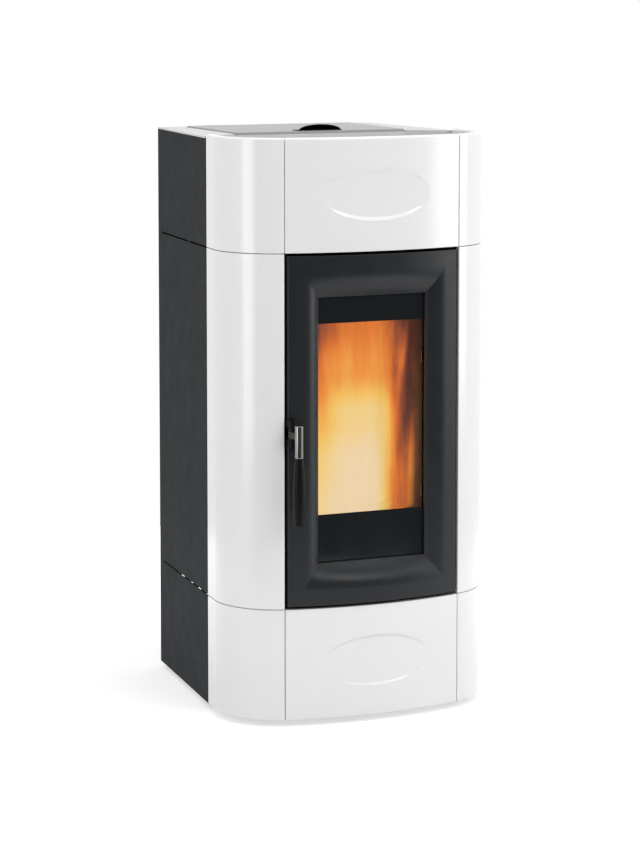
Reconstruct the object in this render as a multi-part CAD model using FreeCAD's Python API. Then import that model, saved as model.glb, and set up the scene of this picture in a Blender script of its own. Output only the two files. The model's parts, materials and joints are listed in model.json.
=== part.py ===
import FreeCAD, Part
import math
import os

V = FreeCAD.Vector
os.makedirs("parts", exist_ok=True)

# A free-standing pellet stove. X to the right, Y to the back, Z up, all lengths in millimetres.
# While it is built, Y is zero at the front-most point of the ceramic and Z is zero on the floor.

# Casing, seen from above: a shallow front arc, two round corners, two sides that taper to the rear
case_depth = 566.0
case_half_width = 274.0
rear_half_width = 235.0
front_radius = 700.0
half_joint = 181.0
side_joint_depth = 205.0

# Heights
foot_gap = 12.0
case_height = 1105.0
lower_joint_rise = 215.0
upper_joint_rise = 893.0
rim_rise = 5.0

# Ceramic tiles
tile_wall = 9.0
tile_rim_depth = 16.0
tile_rim_width = 8.0
tile_joint = 1.4
tile_edge_round = 2.4
rim_round = 4.5
oval_half_width = 112.0
oval_half_height = 48.0
oval_floor_depth = 3.2

# Sheet steel
sheet = 2.0
seat_gap = 0.3
plate_sheet = 3.0
fold = 18.0
slot_height = 3.2
slot_rear_land = 28.0
slot_bridge_depth = 334.0
slot_bridge = 9.0

# Front plate and its openings
plate_depth = 60.0
plate_half_width = 197.0
mouth_half_width = 117.0
mouth_low_rise = 318.0
mouth_high_rise = 818.0

# Base tray and levelling feet
tray_rise = 2.0
tray_wall_height = 40.0
foot_boss_radius = 13.0
foot_boss_height = 26.0
foot_stud_radius = 5.0
foot_running_gap = 0.1
foot_pad_radius = 20.0
foot_pad_height = 8.0
foot_collar_radius = 9.0
foot_collar_height = 3.0
foot_stud_length = 48.0
foot_front_inset = 110.0
foot_front_half_span = 185.0
foot_rear_inset = 44.0
foot_rear_half_span = 165.0

# Door
door_gap = 5.0
door_rear_depth = 56.0
door_edge_round = 4.0
glass_half_width = 111.5
glass_low_rise = 298.0
glass_high_rise = 807.0
lip_depth = 28.0
lip_thickness = 4.0
bevel_half_width = 150.0
bevel_border = 30.0
bevel_shares = (0.0, 0.18, 0.38, 0.6, 0.8, 1.0)
door_wall = 8.0
inner_frame_thickness = 8.0
inner_frame_side_gap = 0.5
inner_frame_lap = 3.0
rope_radius = 5.0
rope_half_width = 131.0
rope_margin = 14.0
rope_groove_gap = 0.4
rope_groove_depth = 6.0
rope_corner_radius = 18.0
pane_thickness = 4.0
pane_lap = 10.0
gasket_thickness = 3.0
gasket_width = 8.0
clip_length = 22.0
clip_sheet = 1.6
clip_pad = 12.0
clip_foot = 13.0
clip_side_rise = 130.0
clip_screw_radius = 4.0
clip_screw_height = 2.2

# Door hinges
hinge_x = 165.0
hinge_y = 31.0
hinge_pin_radius = 3.0
hinge_running_gap = 0.08
hinge_lug_half = 4.5
hinge_lug_height = 8.0
hinge_eye_half = 8.0
hinge_eye_height = 16.0
hinge_eye_gap = 0.3
hinge_notch_margin = 3.0
hinge_base_sheet = 3.0
hinge_base_half = 7.0
hinge_low_rise = 246.0
hinge_high_rise = 836.0

# Door handle and latch
latch_x = -171.0
latch_y = 12.0
latch_pin_radius = 3.0
latch_running_gap = 0.08
fork_half_width = 8.0
fork_front_reach = 8.0
fork_low_rise = 525.0
fork_high_rise = 580.0
fork_lower_lug = 17.0
fork_upper_lug = 15.0
fork_gap = 0.4
lever_boss_radius = 7.5
lever_arm_half = 4.5
lever_arm_height = 12.0
lever_tail_half = 3.0
lever_tail_height = 15.0
lever_tail_reach = 57.0
latch_nose = 7.0
latch_nose_thickness = 5.0
keeper_nose_gap = 0.8
keeper_sheet = 4.0
keeper_width = 12.0
latch_slot_margin = 4.0
latch_window_low_margin = 22.0
latch_window_high_margin = 30.0
keeper_margin = 21.0
latch_way_flare = 3.0
latch_cover_wall = 4.0
latch_slot_right = -139.0
grip_x = -175.0
grip_y = -30.0
ferrule_radius = 7.8
ferrule_height = 61.0
ferrule_low_rise = 514.0
ferrule_edge = 1.2
grip_length = 129.0
grip_top_radius = 7.4
grip_wide_radius = 11.4
grip_wide_share = 0.42
grip_end_radius = 9.2
grip_end_round = 3.0

# Firebox and what stands in it
firebox_half_width = 131.0
firebox_rear = 334.0
firebox_wall = 4.0
firebox_low_rise = 290.0
firebox_high_rise = 850.0
liner_thickness = 18.0
liner_side_gap = 1.0
liner_low_rise = 404.0
liner_high_rise = 764.0
flute_count = 9
flute_radius = 9.0
flute_depth = 4.0
baffle_thickness = 25.0
baffle_front_gap = 55.0
baffle_rise = 770.0
baffle_ledge = 14.0
seat_half_width = 58.0
seat_front = 204.0
seat_height = 70.0
seat_wall = 3.0
pot_half_width = 48.0
pot_half_depth = 44.0
pot_centre_depth = 257.0
pot_wall = 3.0
pot_depth = 52.0
pot_taper_share = 0.78
pot_flange = 6.0
pot_hole_radius = 2.5
pot_hole_rows = 3
pot_hole_columns = 5
pan_half_width = 104.0
pan_front = 74.0
pan_rear = 196.0
pan_height = 56.0
pan_wall = 1.5
pan_rim = 5.0
bail_rod = 3.0
bail_half_width = 34.0
bail_height = 15.0
bail_foot = 12.0
igniter_radius = 5.0
igniter_x = 40.0
igniter_rise = 325.0
igniter_tail = 26.0
igniter_gap = 0.3

# Smoke way, from the rear wall of the firebox down to the extractor
duct_right = -68.0
duct_left = -130.0
duct_depth = 32.0
duct_high_rise = 844.0
duct_low_rise = 96.0
duct_wall = 2.0
smoke_port_height = 40.0
smoke_box_rear = 512.0
smoke_box_height = 140.0

# Extractor fan and flue spigot
fan_y = 445.0
fan_rise = 166.0
fan_radius = 66.0
fan_wall = 2.0
fan_width = 90.0
fan_inlet_radius = 30.0
flue_radius = 40.0
flue_wall = 1.5
flue_drop = 4.0
flue_reach = 52.0
flue_spigot = 50.0
flue_step = 1.5
wheel_radius = 56.0
wheel_disc = 2.0
wheel_blade = 2.0
wheel_blade_count = 8
wheel_blade_height = 34.0
wheel_hub_radius = 11.0
wheel_inner_radius = 26.0
wheel_side_gap = 6.0
fan_shaft_radius = 4.0
shaft_gap = 0.1
fan_motor_radius = 38.0
fan_motor_length = 56.0
fan_motor_flange = 4.0
fan_motor_flange_radius = 48.0
fan_motor_cap = 8.0
fin_count = 12
fin_depth = 3.0
fin_width = 4.0

# Air intake pipe
intake_radius = 25.0
intake_wall = 1.5
intake_rise = 333.0
intake_reach = 44.0
intake_spigot = 42.0
intake_step = 1.0

# Room air fan
blower_left = 92.0
blower_right = 206.0
blower_y = 440.0
blower_radius = 68.0
blower_wall = 2.0
blower_rise_gap = 6.0
blower_eye_radius = 38.0
drum_radius = 56.0
drum_blade_count = 24
drum_blade = 1.6
drum_blade_depth = 11.0
drum_ring = 3.0
drum_side_gap = 6.0
drum_hub_radius = 16.0
drum_disc = 3.0
drum_shaft_radius = 4.0
spider_bar = 8.0
blower_mouth_depth = 58.0
blower_mouth_height = 30.0
blower_foot = 14.0

# Hopper, its mouth collar and the pellet feed
hopper_half_width = 166.0
hopper_front = 312.0
hopper_rear = 530.0
hopper_sheet = 1.5
hopper_taper_rise = 1015.0
hopper_neck_rise = 590.0
hopper_neck_front = 452.0
hopper_neck_rear = 506.0
hopper_neck_half = 28.0
collar_rise = 1100.0
hopper_flange_rise = 1088.0
auger_angle = 60.0
auger_foot_y = 490.0
auger_foot_rise = 452.0
tube_radius = 29.0
tube_wall = 2.0
tube_length = 226.0
screw_radius = 24.0
screw_shaft_radius = 7.0
screw_pitch = 38.0
screw_flight = 3.0
screw_lead_in = 14.0
screw_turns = 5.0
chute_half_width = 32.0
chute_wall = 2.0
chute_low_rise = 540.0
chute_high_rise = 690.0
chute_port_high_rise = 612.0
chute_rear = 402.0
gear_case_radius = 30.0
gear_case_length = 34.0
gear_motor_half = 26.0
gear_motor_length = 40.0
gear_flange = 4.0

# Top: deck, sunken air outlet, lid
deck_sheet = 3.0
lid_half_width = 180.0
lid_front = 275.0
lid_rear = 544.0
lid_side_gap = 2.0
lid_sheet = 2.0
lid_rise_over_deck = 2.5
lid_skirt = 13.0
deck_skirt = 16.0
lid_round = 1.0
well_depth = 45.0
well_sheet = 2.0
louvre_count = 9
louvre_pitch = 14.0
louvre_slot = 6.0
louvre_half_width = 92.0
louvre_x = -52.0
louvre_front = 92.0
seal_height = 4.0
seal_width = 5.0
pull_half_width = 44.0
pull_depth = 26.0
pull_height = 11.0
pull_wall = 2.2
pull_station_shares = (0.0, 0.3, 0.55, 0.76, 0.9, 0.97)
pull_flange = 3.0
pull_flange_sheet = 1.5
pull_front_inset = 3.0
lid_hinge_x = 120.0
lid_hinge_radius = 3.0
lid_hinge_pin = 1.5
lid_hinge_gap = 0.08
lid_knuckle = 14.0
lid_knuckle_gap = 0.4
lid_hinge_setback = 4.0
lid_leaf_sheet = 1.5
lid_leaf_drop = 1.2
lid_notch_gap = 0.6

# Control panel in the well
panel_left = 62.0
panel_right = 196.0
panel_front = 108.0
panel_rear = 190.0
panel_height = 12.0
panel_wall = 2.5
display_left = 74.0
display_right = 142.0
display_front = 138.0
display_rear = 176.0
display_recess = 0.8
button_radius = 6.5
button_gap = 0.3
button_proud = 2.2
button_travel = 1.2
button_flange = 1.0
button_flange_height = 1.5
button_stem_radius = 2.5
button_columns = (152.0, 178.0)
button_rows = (146.0, 170.0)

# Control box on the right side panel
board_box_thickness = 40.0
board_box_front = 360.0
board_box_rear = 500.0
board_box_low_rise = 320.0
board_box_height = 170.0
board_box_standoff = 6.0
board_box_post = 5.0

# Rear panel fittings
rear_vent_count = 8
rear_vent_slot = 5.0
rear_vent_pitch = 15.0
rear_vent_low_rise = 70.0
rear_vent_left = 98.0
rear_vent_right = 200.0
upper_vent_low_rise = 700.0
inlet_x = 170.0
inlet_rise = 330.0
inlet_half_width = 14.0
inlet_half_height = 30.0
inlet_flange = 4.0
inlet_flange_sheet = 2.0
inlet_body_depth = 26.0
socket_half_width = 10.5
socket_half_height = 7.5
socket_depth = 16.0
socket_drop = 13.0
socket_pin_half = 1.0
socket_pin_height = 2.0
socket_pin_spread = 5.0
rocker_half_width = 6.5
rocker_half_height = 10.0
rocker_lift = 14.0
rocker_pivot_radius = 2.0
rocker_depth = 7.0
rocker_proud = 2.2
rocker_gap = 0.4
rocker_end_gap = 2.4
rocker_angle = 12.0
pivot_gap = 0.1

overrun = 1.0

# Derived heights
case_low = foot_gap
case_top = foot_gap + case_height
lower_joint = case_low + lower_joint_rise
upper_joint = case_low + upper_joint_rise
ceramic_top = case_top + rim_rise
deck_low = case_top - deck_sheet
well_floor = case_top - well_depth
door_low = lower_joint + door_gap
door_high = upper_joint - door_gap
door_half = half_joint - door_gap
lid_top = case_top + lid_rise_over_deck
lid_under = lid_top - lid_sheet

# Plan geometry of the casing
front_half_angle = math.asin(half_joint / front_radius)
joint_depth = front_radius * (1 - math.cos(front_half_angle))
corner_radius = (case_half_width - half_joint) / (1 - math.sin(front_half_angle))
corner_x = half_joint - corner_radius * math.sin(front_half_angle)
corner_y = joint_depth + corner_radius * math.cos(front_half_angle)
rear_from_corner_x = rear_half_width - corner_x
rear_from_corner_y = case_depth - corner_y
side_angle = (math.atan2(rear_from_corner_y, rear_from_corner_x)
              - math.acos(corner_radius / math.hypot(rear_from_corner_x, rear_from_corner_y)))


def box(x0, x1, y0, y1, z0, z1):
    return Part.makeBox(x1 - x0, y1 - y0, z1 - z0, V(x0, y0, z0))


def rod_x(x0, x1, y, z, r):
    return Part.makeCylinder(r, x1 - x0, V(x0, y, z), V(1, 0, 0))


def rod_y(y0, y1, x, z, r):
    return Part.makeCylinder(r, y1 - y0, V(x, y0, z), V(0, 1, 0))


def rod_z(z0, z1, x, y, r):
    return Part.makeCylinder(r, z1 - z0, V(x, y, z0), V(0, 0, 1))


def join(first, *others):
    return first.fuse(list(others)).removeSplitter()


def mirrored(shape):
    return shape.mirror(V(0, 0, 0), V(1, 0, 0))


def prism_z(points, z0, z1):
    wire = Part.makePolygon([V(x, y, z0) for x, y in points] + [V(points[0][0], points[0][1], z0)])
    return Part.Face(wire).extrude(V(0, 0, z1 - z0))


def prism_x(points, x0, x1):
    wire = Part.makePolygon([V(x0, y, z) for y, z in points] + [V(x0, points[0][0], points[0][1])])
    return Part.Face(wire).extrude(V(x1 - x0, 0, 0))


def corner_point(inset, angle):
    r = corner_radius - inset
    return corner_x + r * math.cos(angle), corner_y + r * math.sin(angle)


def front_y(x, inset=0.0):
    r = front_radius - inset
    return front_radius - math.sqrt(r * r - x * x)


def side_x(y, inset=0.0):
    sx, sy = corner_point(inset, side_angle)
    return sx - (y - sy) * math.tan(side_angle)


# Casing outline moved inwards by one inset, as a solid between two heights
def casing(inset, z0, z1):
    join_angle = front_half_angle - math.pi / 2
    ax, ay = corner_point(inset, join_angle)
    mx, my = corner_point(inset, (join_angle + side_angle) / 2)
    sx, sy = corner_point(inset, side_angle)
    rear = case_depth - inset
    rx = side_x(rear, inset)
    edges = [
        Part.Arc(V(-ax, ay, z0), V(0, inset, z0), V(ax, ay, z0)).toShape(),
        Part.Arc(V(ax, ay, z0), V(mx, my, z0), V(sx, sy, z0)).toShape(),
        Part.makeLine(V(sx, sy, z0), V(rx, rear, z0)),
        Part.makeLine(V(rx, rear, z0), V(-rx, rear, z0)),
        Part.makeLine(V(-rx, rear, z0), V(-sx, sy, z0)),
        Part.Arc(V(-sx, sy, z0), V(-mx, my, z0), V(-ax, ay, z0)).toShape(),
    ]
    return Part.Face(Part.Wire(edges)).extrude(V(0, 0, z1 - z0))


def round_edges(shape, radius, wanted):
    edges = [e for e in shape.Edges if wanted(e)]
    return shape.makeFillet(radius, edges)


def at_height(edge, z):
    box_ = edge.BoundBox
    return abs(box_.ZMin - z) < tolerance and abs(box_.ZMax - z) < tolerance


tolerance = 0.01


# Ceramic tile: curved face, deeper rim all round, hollow back
def tile(x0, x1, y1, z0, z1):
    front = -overrun
    cell = box(x0, x1, front, y1, z0, z1)
    w = tile_rim_width
    y_back = y1 - w if y1 < case_depth else y1
    x_in0 = x0 + w
    x_in1 = x1 - w if x0 < 0 else x1
    hollow = box(x_in0, x_in1, front, y_back, z0 + w, z1 - w)
    body = casing(0.0, z0, z1).common(cell)
    body = body.cut(casing(tile_rim_depth, z0 - overrun, z1 + overrun))
    return body.cut(casing(tile_wall, z0 - overrun, z1 + overrun).common(hollow))


# Long outside edges of a tile's face at one height are softened as the glaze does
def soften(shape, z, radius):
    def outer(edge):
        if not at_height(edge, z):
            return False
        p = edge.valueAt((edge.FirstParameter + edge.LastParameter) / 2)
        if p.y < side_joint_depth / 2 and abs(p.x) < half_joint:
            return abs(p.y - front_y(p.x)) < tolerance
        r = math.hypot(abs(p.x) - corner_x, p.y - corner_y)
        return abs(r - corner_radius) < tolerance or abs(abs(p.x) - side_x(p.y)) < tolerance
    return round_edges(shape, radius, outer)


def corner_tile(z0, z1, low_round, high_round):
    x0 = half_joint + tile_joint / 2
    body = tile(x0, case_half_width + overrun, side_joint_depth - tile_joint / 2, z0, z1)
    if low_round:
        body = soften(body, z0, low_round)
    return soften(body, z1, high_round)


# Shallow oval sunk into a front panel: its floor is flatter than the panel, so it fades at both ends
def oval_cut(z_mid):
    sag = front_y(oval_half_width) - oval_floor_depth
    floor_radius = (oval_half_width ** 2 + sag ** 2) / (2 * sag)
    curve = Part.Ellipse(V(0, 0, 0), oval_half_width, oval_half_height)
    face = Part.Face(Part.Wire([curve.toShape()]))
    face.rotate(V(0, 0, 0), V(1, 0, 0), 90)
    face.translate(V(0, tile_wall, z_mid))
    tool = face.extrude(V(0, -2 * tile_wall, 0))
    drum = rod_z(z_mid - case_height / 2, z_mid + case_height / 2, 0, oval_floor_depth + floor_radius, floor_radius)
    return tool.cut(drum)


def front_panel(z0, z1, low_round, high_round):
    x1 = half_joint - tile_joint / 2
    body = tile(-x1, x1, case_depth, z0, z1)
    body = body.common(box(-x1, x1, -overrun, side_joint_depth, z0 - overrun, z1 + overrun))
    if low_round:
        body = soften(body, z0, low_round)
    body = soften(body, z1, high_round)
    return body.cut(oval_cut((z0 + z1) / 2))


# Pressed steel corner skins that carry the corner tiles
def tile_carrier():
    inset = tile_rim_depth + seat_gap
    z0 = case_low + tray_rise
    z1 = deck_low
    x0 = half_joint + tile_joint / 2 + fold / 9
    web_end = plate_half_width - 2 * sheet
    skin = casing(inset, z0, z1).cut(casing(inset + sheet, z0 - overrun, z1 + overrun))
    skin = skin.common(box(x0, case_half_width, 0, side_joint_depth - tile_joint / 2, z0, z1))
    r = corner_radius - inset
    edge_y = corner_y - math.sqrt(r * r - (x0 + sheet - corner_x) ** 2)
    low = z0 + plate_sheet
    lip = box(x0, x0 + sheet, edge_y, plate_depth, low, z1)
    web = box(x0, web_end, plate_depth - sheet, plate_depth, low, z1)
    return join(skin, lip, web)


def side_panel():
    x_out = max(case_half_width, rear_half_width) + overrun
    y0 = side_joint_depth + tile_joint / 2
    z0 = case_low
    z1 = deck_low
    skin = casing(0.0, z0, z1).cut(casing(sheet, z0 - overrun, z1 + overrun))
    skin = skin.common(box(0, x_out, y0, case_depth - sheet, z0, z1))
    front_fold = casing(0.0, z0, z1).common(box(side_x(y0) - fold, x_out, y0, y0 + sheet, z0, z1))
    rear_fold = casing(0.0, z0, z1).common(
        box(rear_half_width - fold, x_out, case_depth - sheet, case_depth, z0, z1))
    panel = join(skin, front_fold, rear_fold)
    for z in (lower_joint, upper_joint):
        low = z - slot_height / 2
        high = z + slot_height / 2
        bridge = slot_bridge / 2
        front_run = box(0, x_out, y0 + sheet, slot_bridge_depth - bridge, low, high)
        rear_run = box(0, x_out, slot_bridge_depth + bridge, case_depth - slot_rear_land, low, high)
        panel = panel.cut([front_run, rear_run])
    return panel


def rear_panel():
    y1 = case_depth - sheet - seat_gap
    y0 = y1 - sheet
    half = side_x(case_depth, sheet) - seat_gap
    z0 = case_low + tray_rise
    plate = box(-half, half, y0, y1, z0, deck_low)
    top_fold = box(-half, half, y0 - fold / 2, y0, deck_low - sheet, deck_low)
    plate = join(plate, top_fold)
    cuts = [
        rod_y(y0 - overrun, y1 + overrun, flue_x, flue_rise, flue_radius + flue_step + seat_gap),
        rod_y(y0 - overrun, y1 + overrun, 0, case_low + intake_rise,
              intake_radius + intake_step + seat_gap),
        box(inlet_x - inlet_half_width - seat_gap, inlet_x + inlet_half_width + seat_gap, y0 - overrun,
            y1 + overrun, case_low + inlet_rise - inlet_half_height - seat_gap,
            case_low + inlet_rise + inlet_half_height + seat_gap),
    ]
    for i in range(rear_vent_count):
        for low in (rear_vent_low_rise, upper_vent_low_rise):
            z = case_low + low + i * rear_vent_pitch
            cuts.append(slot_y(rear_vent_left, rear_vent_right, y0, y1, z))
            cuts.append(slot_y(-rear_vent_right, -rear_vent_left, y0, y1, z))
    return plate.cut(cuts)


# Round-ended ventilation slot through a sheet that faces the rear
def slot_y(x0, x1, y0, y1, z):
    r = rear_vent_slot / 2
    bar = box(x0, x1, y0 - overrun, y1 + overrun, z - r, z + r)
    return bar.fuse([rod_y(y0 - overrun, y1 + overrun, x0, z, r), rod_y(y0 - overrun, y1 + overrun, x1, z, r)])


flue_x = duct_right + duct_wall + fan_width / 2
flue_rise = case_low + fan_rise + fan_radius - flue_radius + flue_drop


# Welded front chassis: flat plate with the fire opening, curved backings for the two front panels
def front_frame():
    z0 = case_low + tray_rise + plate_sheet
    plate = box(-plate_half_width, plate_half_width, plate_depth, plate_depth + plate_sheet, z0, deck_low)
    parts = [plate]
    inset = tile_rim_depth + seat_gap
    half = half_joint - tile_joint / 2 - seat_gap
    for low, high in ((z0, lower_joint - tile_joint), (upper_joint + tile_joint, deck_low)):
        skin = casing(inset, low, high).cut(casing(inset + sheet, low - overrun, high + overrun))
        parts.append(skin.common(box(-half, half, 0, plate_depth, low, high)))
        for shelf in (low, high - sheet):
            parts.append(casing(inset, shelf, shelf + sheet).common(
                box(-half, half, 0, plate_depth, shelf, shelf + sheet)))
    body = join(parts[0], *parts[1:])
    mouth = box(-mouth_half_width, mouth_half_width, 0, plate_depth + 2 * plate_sheet,
                case_low + mouth_low_rise, case_low + mouth_high_rise)
    tail_low, tail_high = tail_span()
    slot = box(latch_slot_left(), latch_slot_right, plate_depth - overrun, plate_depth + plate_sheet + overrun,
               tail_low - latch_window_low_margin, tail_high + latch_window_high_margin)
    body = body.cut([mouth, slot])
    edge = keeper_edge()
    keeper = box(edge - keeper_width, edge, plate_depth + plate_sheet, plate_depth + plate_sheet + keeper_sheet,
                 tail_low - keeper_margin, tail_high + keeper_margin)
    return join(body, keeper)


def tail_span():
    mid = case_low + (fork_low_rise + fork_lower_lug + fork_high_rise - fork_upper_lug) / 2
    return mid - lever_tail_height / 2, mid + lever_tail_height / 2


def keeper_edge():
    return latch_x - latch_nose - keeper_nose_gap


def latch_slot_left():
    return keeper_edge() - latch_slot_margin / 4


def base_tray():
    inset = tile_rim_depth + 2 * seat_gap + sheet
    z0 = case_low + tray_rise
    body = casing(inset, z0, z0 + tray_wall_height)
    body = body.cut(casing(inset + plate_sheet, z0 + plate_sheet, z0 + tray_wall_height + overrun))
    front_cut = box(-plate_half_width - seat_gap, plate_half_width + seat_gap, 0, plate_depth + plate_sheet,
                    z0 + plate_sheet, z0 + tray_wall_height + overrun)
    body = body.cut(front_cut)
    bosses = [rod_z(z0, z0 + foot_boss_height, x, y, foot_boss_radius) for x, y in foot_places()]
    body = join(body, *bosses)
    r = foot_stud_radius + foot_running_gap
    return body.cut([rod_z(0, z0 + foot_boss_height + overrun, x, y, r) for x, y in foot_places()])


def foot_places():
    y_rear = case_depth - foot_rear_inset
    return [(-foot_front_half_span, foot_front_inset), (foot_front_half_span, foot_front_inset),
            (-foot_rear_half_span, y_rear), (foot_rear_half_span, y_rear)]


def foot(x, y):
    pad = rod_z(0, foot_pad_height, x, y, foot_pad_radius)
    pad = round_edges(pad, foot_collar_height / 2, lambda e: at_height(e, foot_pad_height))
    collar_top = foot_pad_height + foot_collar_height
    collar = rod_z(foot_pad_height, collar_top, x, y, foot_collar_radius)
    stud = rod_z(foot_pad_height, foot_pad_height + foot_stud_length, x, y, foot_stud_radius)
    return join(pad, collar, stud)


# Loop round the fire opening, from its edge at share 0 out to the plain border at share 1
def bevel_loop(share):
    z_in0 = case_low + glass_low_rise
    z_in1 = case_low + glass_high_rise
    z0 = z_in0 + (door_low + bevel_border - z_in0) * share
    z1 = z_in1 + (door_high - bevel_border - z_in1) * share
    w = glass_half_width + (bevel_half_width - glass_half_width) * share
    sunk = (1 - share) ** 2

    def depth(x):
        return front_y(x) + (lip_depth - front_y(x)) * sunk

    def bow(x0, x1, z):
        if share == bevel_shares[0]:
            return Part.makeLine(V(x0, depth(x0), z), V(x1, depth(x1), z))
        return Part.Arc(V(x0, depth(x0), z), V(0, depth(0), z), V(x1, depth(x1), z)).toShape()

    right = Part.makeLine(V(w, depth(w), z0), V(w, depth(w), z1))
    left = Part.makeLine(V(-w, depth(w), z1), V(-w, depth(w), z0))
    return Part.Wire([bow(-w, w, z0), right, bow(w, -w, z1), left])


# Door casting: curved outside, rolled down in four mitred sweeps to a flat glass lip, hollow back
def bevel_tool():
    loops = [bevel_loop(share) for share in bevel_shares]
    sweeps = Part.makeLoft(loops, False, False)
    mouth = Part.Face(loops[0])
    outer_bow = loops[-1].Edges[0]
    cover = outer_bow.extrude(V(0, 0, door_high - door_low - 2 * bevel_border))
    shell = Part.makeShell(sweeps.Faces + [mouth, cover])
    shell.sewShape()
    solid = Part.Solid(shell if shell.ShapeType == "Shell" else shell.Shells[0])
    if solid.Volume < 0:
        solid.reverse()
    return solid


def door_frame():
    body = casing(0.0, door_low, door_high).common(
        box(-door_half, door_half, -overrun, door_rear_depth, door_low, door_high))

    def upright(edge):
        b = edge.BoundBox
        is_vertical = b.XLength < tolerance and b.YLength < tolerance
        return is_vertical and abs(abs(b.XMin) - door_half) < tolerance and b.YMin < door_rear_depth - overrun

    body = round_edges(body, door_edge_round, upright)
    body = body.cut(bevel_tool())
    z_in0 = case_low + glass_low_rise
    z_in1 = case_low + glass_high_rise
    opening = box(-glass_half_width, glass_half_width, 0, door_rear_depth, z_in0, z_in1)
    pocket = box(-door_half + door_wall, door_half - door_wall, lip_depth + lip_thickness,
                 door_rear_depth + overrun, door_low + door_wall, door_high - door_wall)
    body = body.cut([opening, pocket])
    return hinge_sides(body)


def hinge_heights():
    return [case_low + hinge_low_rise, case_low + hinge_high_rise]


# Space for the body's hinge lugs in the door, which they swing through
def hinge_notch(z):
    m = hinge_notch_margin
    return box(hinge_x - hinge_eye_half - m, door_half + overrun, hinge_y - hinge_lug_half - m / 2,
               door_rear_depth + overrun, z - m, z + hinge_lug_height + hinge_eye_gap + hinge_eye_height + m)


def hinge_sides(body):
    for z in hinge_heights():
        body = body.cut(hinge_notch(z))
        z0 = z + hinge_lug_height + hinge_eye_gap
        eye = box(hinge_x - hinge_eye_half, hinge_x + hinge_eye_half, front_y(hinge_x) + door_wall / 2,
                  hinge_y, z0, z0 + hinge_eye_height)
        barrel = rod_z(z0, z0 + hinge_eye_height, hinge_x, hinge_y, hinge_eye_half)
        bore = rod_z(z0 - overrun, z0 + hinge_eye_height + overrun, hinge_x, hinge_y,
                     hinge_pin_radius + hinge_running_gap)
        body = join(body, eye, barrel).cut(bore)
    tail_low, tail_high = tail_span()
    m = latch_slot_margin
    lever_way = box(-door_half - overrun, latch_slot_right, -overrun, door_rear_depth + overrun,
                    tail_low - m, tail_high + m)
    front_cover = box(latch_x + fork_half_width + latch_way_flare, 0, -overrun,
                      front_y(latch_x) + latch_cover_wall, tail_low - m, tail_high + m)
    return body.cut(lever_way.cut(front_cover))


def door_inner_frame():
    m = inner_frame_side_gap
    half = door_half - door_wall - m
    y1 = door_rear_depth
    y0 = y1 - inner_frame_thickness
    z0 = door_low + door_wall + m
    z1 = door_high - door_wall - m
    lap = inner_frame_lap
    body = box(-half, half, y0, y1, z0, z1)
    body = body.cut(box(-glass_half_width - lap, glass_half_width + lap, y0 - overrun, y1 + overrun,
                        case_low + glass_low_rise - lap, case_low + glass_high_rise + lap))
    groove = rope_ring(rope_radius + rope_groove_gap, y1 - rope_groove_depth, y1 + overrun)
    body = body.cut(groove)
    for z in hinge_heights():
        body = body.cut(hinge_notch(z))
    tail_low, tail_high = tail_span()
    margin = latch_slot_margin
    return body.cut(box(-door_half, latch_slot_right, y0 - overrun, y1 + overrun, tail_low - margin,
                        tail_high + margin))


def rounded_slab(half, z0, z1, radius, y0, y1):
    slab = box(-half, half, y0, y1, z0, z1)

    def along_y(edge):
        b = edge.BoundBox
        return b.XLength < tolerance and b.ZLength < tolerance

    return round_edges(slab, radius, along_y)


# Rounded rectangular ring round the fire opening, between two depths
def rope_ring(half_thickness, y0, y1):
    z0 = case_low + mouth_low_rise - rope_margin
    z1 = case_low + mouth_high_rise + rope_margin
    t = half_thickness
    outer = rounded_slab(rope_half_width + t, z0 - t, z1 + t, rope_corner_radius + t, y0, y1)
    inner = rounded_slab(rope_half_width - t, z0 + t, z1 - t, rope_corner_radius - t, y0 - overrun, y1 + overrun)
    return outer.cut(inner)


def door_seal():
    ring = rope_ring(rope_radius, door_rear_depth - rope_groove_depth + seat_gap, plate_depth - seat_gap)
    y1 = plate_depth - seat_gap

    def rear_rim(edge):
        b = edge.BoundBox
        return abs(b.YMin - y1) < tolerance and abs(b.YMax - y1) < tolerance

    return round_edges(ring, rope_radius / 2, rear_rim)


def pane_box(y0, y1, grow):
    return box(-glass_half_width - grow, glass_half_width + grow, y0, y1,
               case_low + glass_low_rise - grow, case_low + glass_high_rise + grow)


def glass_gasket():
    y0 = lip_depth + lip_thickness
    ring = pane_box(y0, y0 + gasket_thickness, pane_lap)
    return ring.cut(pane_box(y0 - overrun, y0 + gasket_thickness + overrun, pane_lap - gasket_width))


def door_glass():
    y0 = lip_depth + lip_thickness + gasket_thickness
    return pane_box(y0, y0 + pane_thickness, pane_lap)


# Spring clips that hold the pane against the lip, each with its screw
def glass_clip():
    y_pane = lip_depth + lip_thickness + gasket_thickness + pane_thickness
    y_frame = door_rear_depth - inner_frame_thickness
    half = clip_length / 2
    edge = glass_half_width + pane_lap
    t = clip_sheet
    points = [
        (edge - clip_pad, y_pane), (edge + t, y_pane), (edge + t, y_frame - t),
        (edge + t + clip_foot, y_frame - t), (edge + t + clip_foot, y_frame),
        (edge, y_frame), (edge, y_pane + t), (edge - clip_pad, y_pane + t),
    ]
    clip = prism_z(points, -half, half)
    head = rod_y(y_frame - t - clip_screw_height, y_frame - t, edge + t + clip_foot / 2, 0, clip_screw_radius)
    return join(clip, head)


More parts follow.
